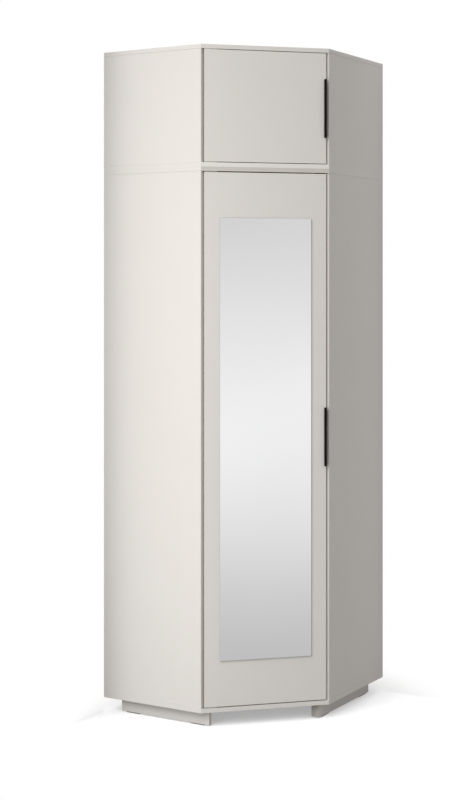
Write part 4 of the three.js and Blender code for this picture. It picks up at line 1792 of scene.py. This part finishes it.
@dataclass
class RailBracket:
    """A moulded bracket that hangs the rail from the shelf: flange, ribs, web and a collar round the rail."""

    side: str
    finishes: Finishes
    front: SlantedFront
    web: float = 4.0
    web_round: float = 0.98
    web_steps: int = 12
    flange: float = 2.5
    flange_corner: float = 4.0
    collar: float = 2.2
    collar_reach: float = 2.5
    hole_gap: float = 0.3
    rib: float = 2.0
    rib_size: float = 9.0
    rib_overlap: float = 0.5
    screw_from_middle: float = 15.5
    easing: float = 0.5
    crisp_angle: float = 50.0
    sides: int = 64

    def oval(self, name: str, half_length: float, half_width: float, half_height: float) -> Piece:
        """Make an oval rod along x, centred on the rail's axis.

        Args:
            name: its name.
            half_length: half its length in millimetres.
            half_width: half its width in millimetres.
            half_height: half its height in millimetres.

        Returns:
            The rod.
        """
        rod = Bench.turned(name, [(1, -half_length), (1, half_length)], self.sides)
        Bench.settle(rod, Matrix.Rotation(math.pi / 2, 4, "Y"))
        return Bench.settle(rod, Matrix.Diagonal((1, half_width, half_height, 1)))

    def ribs(self, top: float) -> list[Piece]:
        """Make the two gusset ribs between web and flange.

        Args:
            top: the level of the flange's lower face in millimetres.

        Returns:
            Both ribs.
        """
        ribs = []
        bottom = top - self.rib_size
        for side in (-1, 1):
            root, tip = side * (self.web / 2 - self.rib_overlap), side * (self.web / 2 + self.rib_size)
            low = to_metres(min(root, tip), -self.rib / 2, bottom)
            rib = Bench.block("rib", low, to_metres(max(root, tip), self.rib / 2, top + self.rib_overlap))
            slope = Vector((side, 0, -1)).normalized()
            Bench.saw(rib, to_metres(side * self.web / 2, 0, bottom), slope, remove=True)
            ribs.append(rib)
        return ribs

    def moulding(self, node: str, size: Vector, top: float, hole: tuple[float, float]) -> Piece:
        """Make the bracket's moulding round the rail's axis.

        Args:
            node: the bracket's CAD node.
            size: its length, width and height in millimetres.
            top: the level of its upper face over the rail's axis, in millimetres.
            hole: half the width and half the height of the hole for the rail, in millimetres.

        Returns:
            The moulding without its screws.
        """
        length, width, height = size
        web_low = to_metres(-self.web / 2, -width / 2, top - height)
        web = Bench.block(f"web_{node}", web_low, to_metres(self.web / 2, width / 2, top - self.flange / 2))

        def lower_corner(edge: bmesh.types.BMEdge) -> bool:
            """Whether an edge is one of the web's two lower corners."""
            return abs(edge_run(edge).x) > FLAT_TEST and edge.verts[0].co.z < 0

        Bench.bevel(web, lower_corner, width / 2 * self.web_round, self.web_steps)
        plate = Bench.plate("flange", to_metres(length, width, self.flange), self.flange_corner)
        Bench.settle(plate, shift(-length / 2, -width / 2, top - self.flange))
        collar = self.oval("collar", self.web / 2 + self.collar_reach, *(half + self.collar for half in hole))
        Bench.cut_out(web, [plate, collar, *self.ribs(top - self.flange)], Cut.JOIN)
        Bench.cut_out(web, [self.oval("hole", self.web + self.collar_reach, *hole)])
        Bench.ease_edges(web, self.easing, angle=self.crisp_angle)
        Bench.dress(web, [self.finishes.grey_plastic])
        return web

    def build(self) -> None:
        """Make the bracket with its two screws."""
        node = f"rail_bracket_{self.side}"
        low, high = self.front.local_box(node)
        rail_low, rail_high = self.front.local_box("hanging_rail")
        axis = (rail_low.z + rail_high.z) / 2
        top = (high.z - axis) / MM
        half_width, half_height = (rail_high.y - rail_low.y) / 2 / MM, (rail_high.z - rail_low.z) / 2 / MM
        hole = (half_width + self.hole_gap, half_height + self.hole_gap)
        web = self.moulding(node, (high - low) / MM, top, hole)
        screw = CrossRecessScrew(self.finishes, radius=2.7, height=1.5, recess_length=3.0)
        foot = top - self.flange + screw.height
        places = [
            shift(along, 0, foot) @ FLIP
            for along in (-self.screw_from_middle, self.screw_from_middle)
        ]
        bracket = screw.fit(web, places, f"moulding_{node}")
        middle = (low + high) / 2
        Bench.settle(bracket, self.front.place(middle.x, middle.y, axis))
        register(bracket, "cabinet", Slot.GREY_PLASTIC, node)


@dataclass
class TurnedPins:
    """Turned metal pins: shelf pins, the screws that join the units, and the pulls' screws.

    A profile is the radius and level of each section, from foot to head.
    """

    finishes: Finishes
    front: SlantedFront
    sides: int = 32
    shelf_shank: Profile = ((1.9, 0), (2.4, 0.5), (2.4, 9.3), (2.9, 9.3), (3.2, 9.6), (3.2, 12), (2.7, 12.4))
    shelf_head: Profile = ((2.7, 13.2), (3.2, 13.6), (3.2, 18.8), (2.9, 19.5), (2.2, 20))
    sleeve_foot: Profile = ((6.6, 0), (7.5, 0.8), (7.5, 2), (4, 2))
    sleeve_head: Profile = ((4, 34), (7.5, 34), (7.5, 35.2), (6.6, 36))
    pan_shank: Profile = ((0.3, 0), (1.7, 2.2), (1.7, 11.3))
    pan_head: Profile = ((3.2, 11.3), (3.4, 11.6), (3.4, 12.3), (3.0, 13), (2.0, 13.5))

    def turned_piece(self, node: str, profile: Profile) -> Piece:
        """Make a plated pin, upright on the origin.

        Args:
            node: the CAD node that it stands for.
            profile: its profile.

        Returns:
            The pin.
        """
        pin = Bench.turned(f"turned_{node}", profile, self.sides)
        Bench.dress(pin, [self.finishes.zinc])
        Bench.smooth(pin)
        return pin

    def shelf_pins(self) -> None:
        """Make the four shelf pins: shank, shoulder with a groove, and a rounded end."""
        for node in nodes_named("shelf_pin_"):
            low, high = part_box(node)
            start = (low + high) / 2
            if "left" in node:
                start.y, towards = low.y, PLUS_Y
            else:
                start.x, towards = high.x, MINUS_X
            pin = self.turned_piece(node, [*self.shelf_shank, *self.shelf_head])
            Bench.settle(pin, Matrix.Translation(start) @ facing(towards))
            register(pin, "cabinet", Slot.STEEL, node)

    def unit_connectors(self) -> None:
        """Make the sleeve screws that join the units, with a cross recess at both ends."""
        screw = CrossRecessScrew(self.finishes, recess_length=6.4, recess_width=1.4, recess_depth=1.4)
        for node in nodes_named("unit_connector_"):
            low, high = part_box(node)
            middle, length = (low + high) / 2, (high.z - low.z) / MM
            pin = self.turned_piece(node, [*self.sleeve_foot, *self.sleeve_head])
            screw.recess(pin, length)
            Bench.settle(pin, shift(0, 0, length) @ FLIP)
            screw.recess(pin, length)
            Bench.smooth(pin)
            Bench.settle(pin, Matrix.Translation((middle.x, middle.y, low.z)))
            register(pin, "cabinet", Slot.STEEL, node)

    def pull_screws(self, unit: str) -> None:
        """Make the two pan-headed screws behind a pull's flange.

        Args:
            unit: lower or upper.
        """
        screw = CrossRecessScrew(self.finishes, recess_length=3.8, recess_depth=1.1)
        for number in (1, 2):
            node = f"{unit}_handle_screw_{number}"
            low, high = self.front.local_box(node)
            middle = (low + high) / 2
            pin = self.turned_piece(node, [*self.pan_shank, *self.pan_head])
            screw.recess(pin, self.pan_head[-1][1])
            Bench.smooth(pin)
            Bench.settle(pin, self.front.place(middle.x, low.y, middle.z) @ LIE_BACK)
            register(pin, f"{unit}_door_leaf", Slot.STEEL, node)

    def build(self) -> None:
        """Make every turned pin and screw."""
        self.shelf_pins()
        self.unit_connectors()
        for unit in ("lower", "upper"):
            self.pull_screws(unit)


@dataclass
class CamFittings:
    """Cam housings let into the inner faces of the boards, under moulded caps."""

    finishes: Finishes
    radius: float = 8.5
    proud: float = 0.6
    sunk: float = 1.0
    rim: float = 1.2
    slope: float = 0.4
    lip_share: float = 0.5
    dish_share: float = 0.4
    dish_middle: float = 0.5
    sides: int = 40
    from_panel: float = 34.0
    from_back: float = 70.0
    from_front: float = 90.0

    def cap(self, name: str) -> Piece:
        """Make a cap with a rim and a shallow dish, standing on the origin.

        Args:
            name: the cap's name.

        Returns:
            The cap.
        """
        inner, dish = self.radius - self.rim, self.proud * self.dish_share
        profile = [
            (self.radius, -self.sunk),
            (self.radius, self.proud * self.lip_share),
            (self.radius - self.slope, self.proud),
            (inner, self.proud),
            (inner - self.slope, dish),
            (self.dish_middle, dish),
        ]
        cap = Bench.turned(name, profile, self.sides)
        Bench.dress(cap, [self.finishes.cap_plastic])
        Bench.smooth(cap)
        return cap

    def build(self) -> None:
        """Make the caps of every top and bottom board, two at each side panel."""
        pattern = self.cap("cap_pattern")
        for unit in ("lower", "upper"):
            left_low, left_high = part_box(f"{unit}_left_side")
            right_low, right_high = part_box(f"{unit}_right_side")
            row_y = left_high.y + self.from_panel * MM
            row_x = right_low.x - self.from_panel * MM
            spots = [
                (left_low.x + self.from_back * MM, row_y),
                (left_high.x - self.from_front * MM, row_y),
                (row_x, right_low.y + self.from_front * MM),
                (row_x, right_high.y - self.from_back * MM),
            ]
            for level in ("bottom", "top"):
                low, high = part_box(f"{unit}_{level}_board")
                height, turn = (high.z, Matrix()) if level == "bottom" else (low.z, FLIP)
                places = [Matrix.Translation((x, y, height)) @ turn for x, y in spots]
                caps = [Bench.twin(pattern, "cap", place) for place in places]
                register(Bench.gather(caps, f"caps_{unit}_{level}"), "cabinet", Slot.LAMINATE)
        bpy.data.objects.remove(pattern, do_unlink=True)


@dataclass
class Studio:
    """Pale floor, soft lamps, world and camera; lengths and places are in metres, angles in degrees."""

    floor_radius: float = 7.0
    floor_sides: int = 96
    floor_level: float = -0.0005
    floor_fade: tuple[float, float] = (0.4, 0.8)
    floor_tones: tuple[str, str] = ("#a2a2a1", "#a0a09f")
    floor_lump_mm: float = 400.0
    floor_seen: str = "#ecedef"
    floor_lift: float = 0.34
    ambient: float = 0.52
    ambient_colour: str = "#fffefc"
    gradient_limits: tuple[float, float] = (-0.26, 0.06)
    gradient: tuple[tuple[float, str], ...] = ((0.0, "#c4c4c4"), (0.52, "#f8f8f8"), (1.0, "#dadada"))
    key_azimuth: float = -5.0
    key_height: float = 45.0
    key_spread: float = 50.0
    key_strength: float = 1.6
    key_colour: str = "#fbfdff"
    box_place: tuple[float, float, float] = (0.07, -1.5, 1.52)
    box_size: tuple[float, float] = (0.6, 2.9)
    box_watts: float = 11.1
    left_reach: float = 0.18
    right_reach: float = 0.34
    left_card_colour: str = "#686868"
    right_card_colour: str = "#e0e0e0"
    card_height: float = 2.7
    card_gap: float = 0.004
    camera_place: tuple[float, float, float] = (3.01374, -5.14681, 1.62349)
    camera_turn: float = 30.85
    camera_lens: float = 68.91
    camera_shift: float = -0.1454

    def mirror_gradient(self, tree: Tree) -> Socket:
        """Lay the upright gradient that a mirror shows.

        Args:
            tree: the world's node tree.

        Returns:
            The gradient's colour.
        """
        direction = add_node(tree, "ShaderNodeTexCoord").outputs["Generated"]
        parts = add_node(tree, "ShaderNodeSeparateXYZ", None, {"Vector": direction})
        low, high = self.gradient_limits
        limits = {"Value": parts.outputs["Z"], "From Min": low, "From Max": high}
        level = add_node(tree, "ShaderNodeMapRange", None, limits)
        ramp = add_node(tree, "ShaderNodeValToRGB", None, {"Fac": level.outputs["Result"]})
        ramp.color_ramp.interpolation = "EASE"
        ramp.color_ramp.elements.new(self.gradient[1][0])
        for stop, (position, colour) in zip(ramp.color_ramp.elements, self.gradient, strict=True):
            stop.position = position
            stop.color = hex_to_linear(colour)
        return ramp.outputs["Color"]

    def world(self) -> None:
        """White to the camera; a soft upright gradient to mirrors; an even dimmer white to matt surfaces."""
        world = bpy.data.worlds.new("studio_world")
        bpy.context.scene.world = world
        world.use_nodes = True
        tree = world.node_tree
        tree.nodes.clear()
        rays = add_node(tree, "ShaderNodeLightPath").outputs
        matt, white, glossy = (
            add_node(tree, "ShaderNodeBackground", None, {"Color": colour, "Strength": strength}).outputs[0]
            for colour, strength in (
                (hex_to_linear(self.ambient_colour), self.ambient),
                ((1, 1, 1, 1), 1),
                (self.mirror_gradient(tree), 1),
            )
        )
        shiny = add_node(tree, "ShaderNodeMixShader", None, {0: rays["Is Glossy Ray"], 1: matt, 2: glossy})
        straight = {0: rays["Is Camera Ray"], 1: rays["Is Transmission Ray"]}
        clear = add_node(tree, "ShaderNodeMath", {"operation": "MAXIMUM"}, straight)
        views = {0: clear.outputs[0], 1: shiny.outputs[0], 2: white}
        seen = add_node(tree, "ShaderNodeMixShader", None, views)
        add_node(tree, "ShaderNodeOutputWorld", None, {"Surface": seen.outputs[0]})

    def floor_material(self) -> Material:
        """Make the floor's pale paper.

        It fades out to the camera away from the wardrobe, a mirror doesn't see it, and the camera sees it
        paler than it is for light, so the background is white and still keeps the shadow.

        Returns:
            The material.
        """
        material, tree = new_material("pale_studio_floor")
        place = add_node(tree, "ShaderNodeTexCoord").outputs["Object"]
        rays = add_node(tree, "ShaderNodeLightPath").outputs
        camera = rays["Is Camera Ray"]
        reach = add_node(tree, "ShaderNodeVectorMath", {"operation": "LENGTH"}, {0: place}).outputs["Value"]
        limits = {"Value": reach, "From Min": self.floor_fade[0], "From Max": self.floor_fade[1]}
        fade = add_node(tree, "ShaderNodeMapRange", {"interpolation_type": "SMOOTHSTEP"}, limits)
        away = {0: fade.outputs["Result"], 1: camera}
        far = add_node(tree, "ShaderNodeMath", {"operation": "MULTIPLY"}, away)
        unseen = {0: far.outputs[0], 1: rays["Is Glossy Ray"]}
        hidden = add_node(tree, "ShaderNodeMath", {"operation": "MAXIMUM"}, unseen)
        light, deep = (hex_to_linear(tone) for tone in self.floor_tones)
        tones = {0: mottle(tree, place, self.floor_lump_mm)[1], 6: light, 7: deep}
        paper = add_node(tree, "ShaderNodeMix", {"data_type": "RGBA"}, tones)
        views = {0: camera, 6: paper.outputs[2], 7: hex_to_linear(self.floor_seen)}
        colour = add_node(tree, "ShaderNodeMix", {"data_type": "RGBA"}, views)
        pale = add_node(tree, "ShaderNodeBsdfDiffuse", None, {"Color": colour.outputs[2]})
        lift = add_node(tree, "ShaderNodeMath", {"operation": "MULTIPLY"}, {0: camera, 1: self.floor_lift})
        shine = {"Color": (1, 1, 1, 1), "Strength": lift.outputs[0]}
        glow = add_node(tree, "ShaderNodeEmission", None, shine)
        matt = add_node(tree, "ShaderNodeAddShader", None, {0: pale.outputs[0], 1: glow.outputs[0]})
        clear = add_node(tree, "ShaderNodeBsdfTransparent")
        shares = {0: hidden.outputs[0], 1: matt.outputs[0], 2: clear.outputs[0]}
        mix = add_node(tree, "ShaderNodeMixShader", None, shares)
        add_node(tree, "ShaderNodeOutputMaterial", None, {"Surface": mix.outputs[0]})
        return material

    def floor(self) -> None:
        """Lay a pale round floor that fades into the white background and keeps the shadow."""
        bpy.ops.object.select_all(action="DESELECT")
        bpy.ops.mesh.primitive_circle_add(
            vertices=self.floor_sides,
            radius=self.floor_radius,
            fill_type="NGON",
            location=(0, 0, self.floor_level),
        )
        floor = bpy.context.object
        floor.name = "studio_floor"
        floor.data.materials.append(self.floor_material())

    def card(self, name: str, low: Vector, high: Vector, colour: str) -> None:
        """Put up a card that only shades and bounces light; neither the camera nor a mirror sees it.

        Args:
            name: the card's name.
            low: its lowest corner.
            high: its highest corner.
            colour: its sRGB hex colour.
        """
        card = Bench.block(name, low, high)
        material, tree = new_material(f"{name}_paper")
        paper = add_node(tree, "ShaderNodeBsdfDiffuse", None, {"Color": hex_to_linear(colour)})
        add_node(tree, "ShaderNodeOutputMaterial", None, {"Surface": paper.outputs[0]})
        card.data.materials.append(material)
        card.visible_camera = card.visible_glossy = card.visible_transmission = False

    def cards(self) -> None:
        """Put up the cards that carry on the planes of the two backs past the side panels."""
        low, high = Vector(cad_box[0]), Vector(cad_box[1])
        gap, top = self.card_gap, self.card_height
        left_low = Vector((low.x - gap, low.y - gap - self.left_reach, 0))
        self.card("left_card", left_low, Vector((low.x, low.y - gap, top)), self.left_card_colour)
        right_high = Vector((high.x + gap + self.right_reach, high.y + gap, top))
        self.card("right_card", Vector((high.x + gap, high.y, 0)), right_high, self.right_card_colour)

    def hang(self, name: str, data: bpy.types.ID, place: Sequence[float], turn: Sequence[float]) -> Piece:
        """Put a lamp or the camera into the scene.

        Args:
            name: its name.
            data: its light or camera data.
            place: where it is, in metres.
            turn: its turn about x and z in degrees.

        Returns:
            The new object.
        """
        piece = bpy.data.objects.new(name, data)
        piece.location = place
        piece.rotation_euler = (math.radians(turn[0]), 0, math.radians(turn[1]))
        bpy.context.scene.collection.objects.link(piece)
        return piece

    def lamps(self) -> None:
        """Light the wardrobe with two lamps that mirrors don't show.

        The key lamp is broad, distant and high; the soft box is tall and stands near the front's left
        corner, level with the upper half.
        """
        key = bpy.data.lights.new("key_lamp", "SUN")
        key.angle = math.radians(self.key_spread)
        key.energy = self.key_strength
        key.color = hex_to_linear(self.key_colour)[:3]
        self.hang("key_lamp", key, (0, 0, 0), (90 - self.key_height, self.key_azimuth)).visible_glossy = False
        box = bpy.data.lights.new("soft_box", "AREA")
        box.shape = "RECTANGLE"
        box.size, box.size_y = self.box_size
        box.energy = self.box_watts
        self.hang("soft_box", box, self.box_place, (90, 0)).visible_glossy = False

    def camera(self) -> None:
        """Set the camera at the photograph's view: level, with a small downward shift."""
        data = bpy.data.cameras.new("view")
        data.lens = self.camera_lens
        data.shift_y = self.camera_shift
        bpy.context.scene.camera = self.hang("view", data, self.camera_place, (90, self.camera_turn))

    def build(self) -> None:
        """Set the whole stage."""
        bpy.context.scene.view_settings.view_transform = "Standard"
        self.world()
        self.floor()
        self.cards()
        self.lamps()
        self.camera()


def main() -> None:
    """Build the wardrobe and its stage."""
    logging.basicConfig(level=logging.INFO, format="%(name)s: %(message)s")
    finishes = Finishes()
    front = SlantedFront.from_panels()
    Studio().build()
    for unit, end_reach in (("lower", 0.0), ("upper", 1.5)):
        CarcassUnit(unit, finishes, front).build()
        DoorLeaf(unit, finishes, front, end_reach=end_reach).build()
    Plinth(finishes).build()
    Interior(finishes, front).build()
    DoorMirror(finishes, front).build()
    for unit in ("lower", "upper"):
        for end in ("bottom", "top"):
            PivotHinge(unit, end, finishes, front).build()
        MagneticCatch(unit, finishes, front).build()
    for side in ("left", "right"):
        RailBracket(side, finishes, front).build()
    TurnedPins(finishes, front).build()
    CamFittings(finishes).build()


if __name__ == "__main__":
    main()
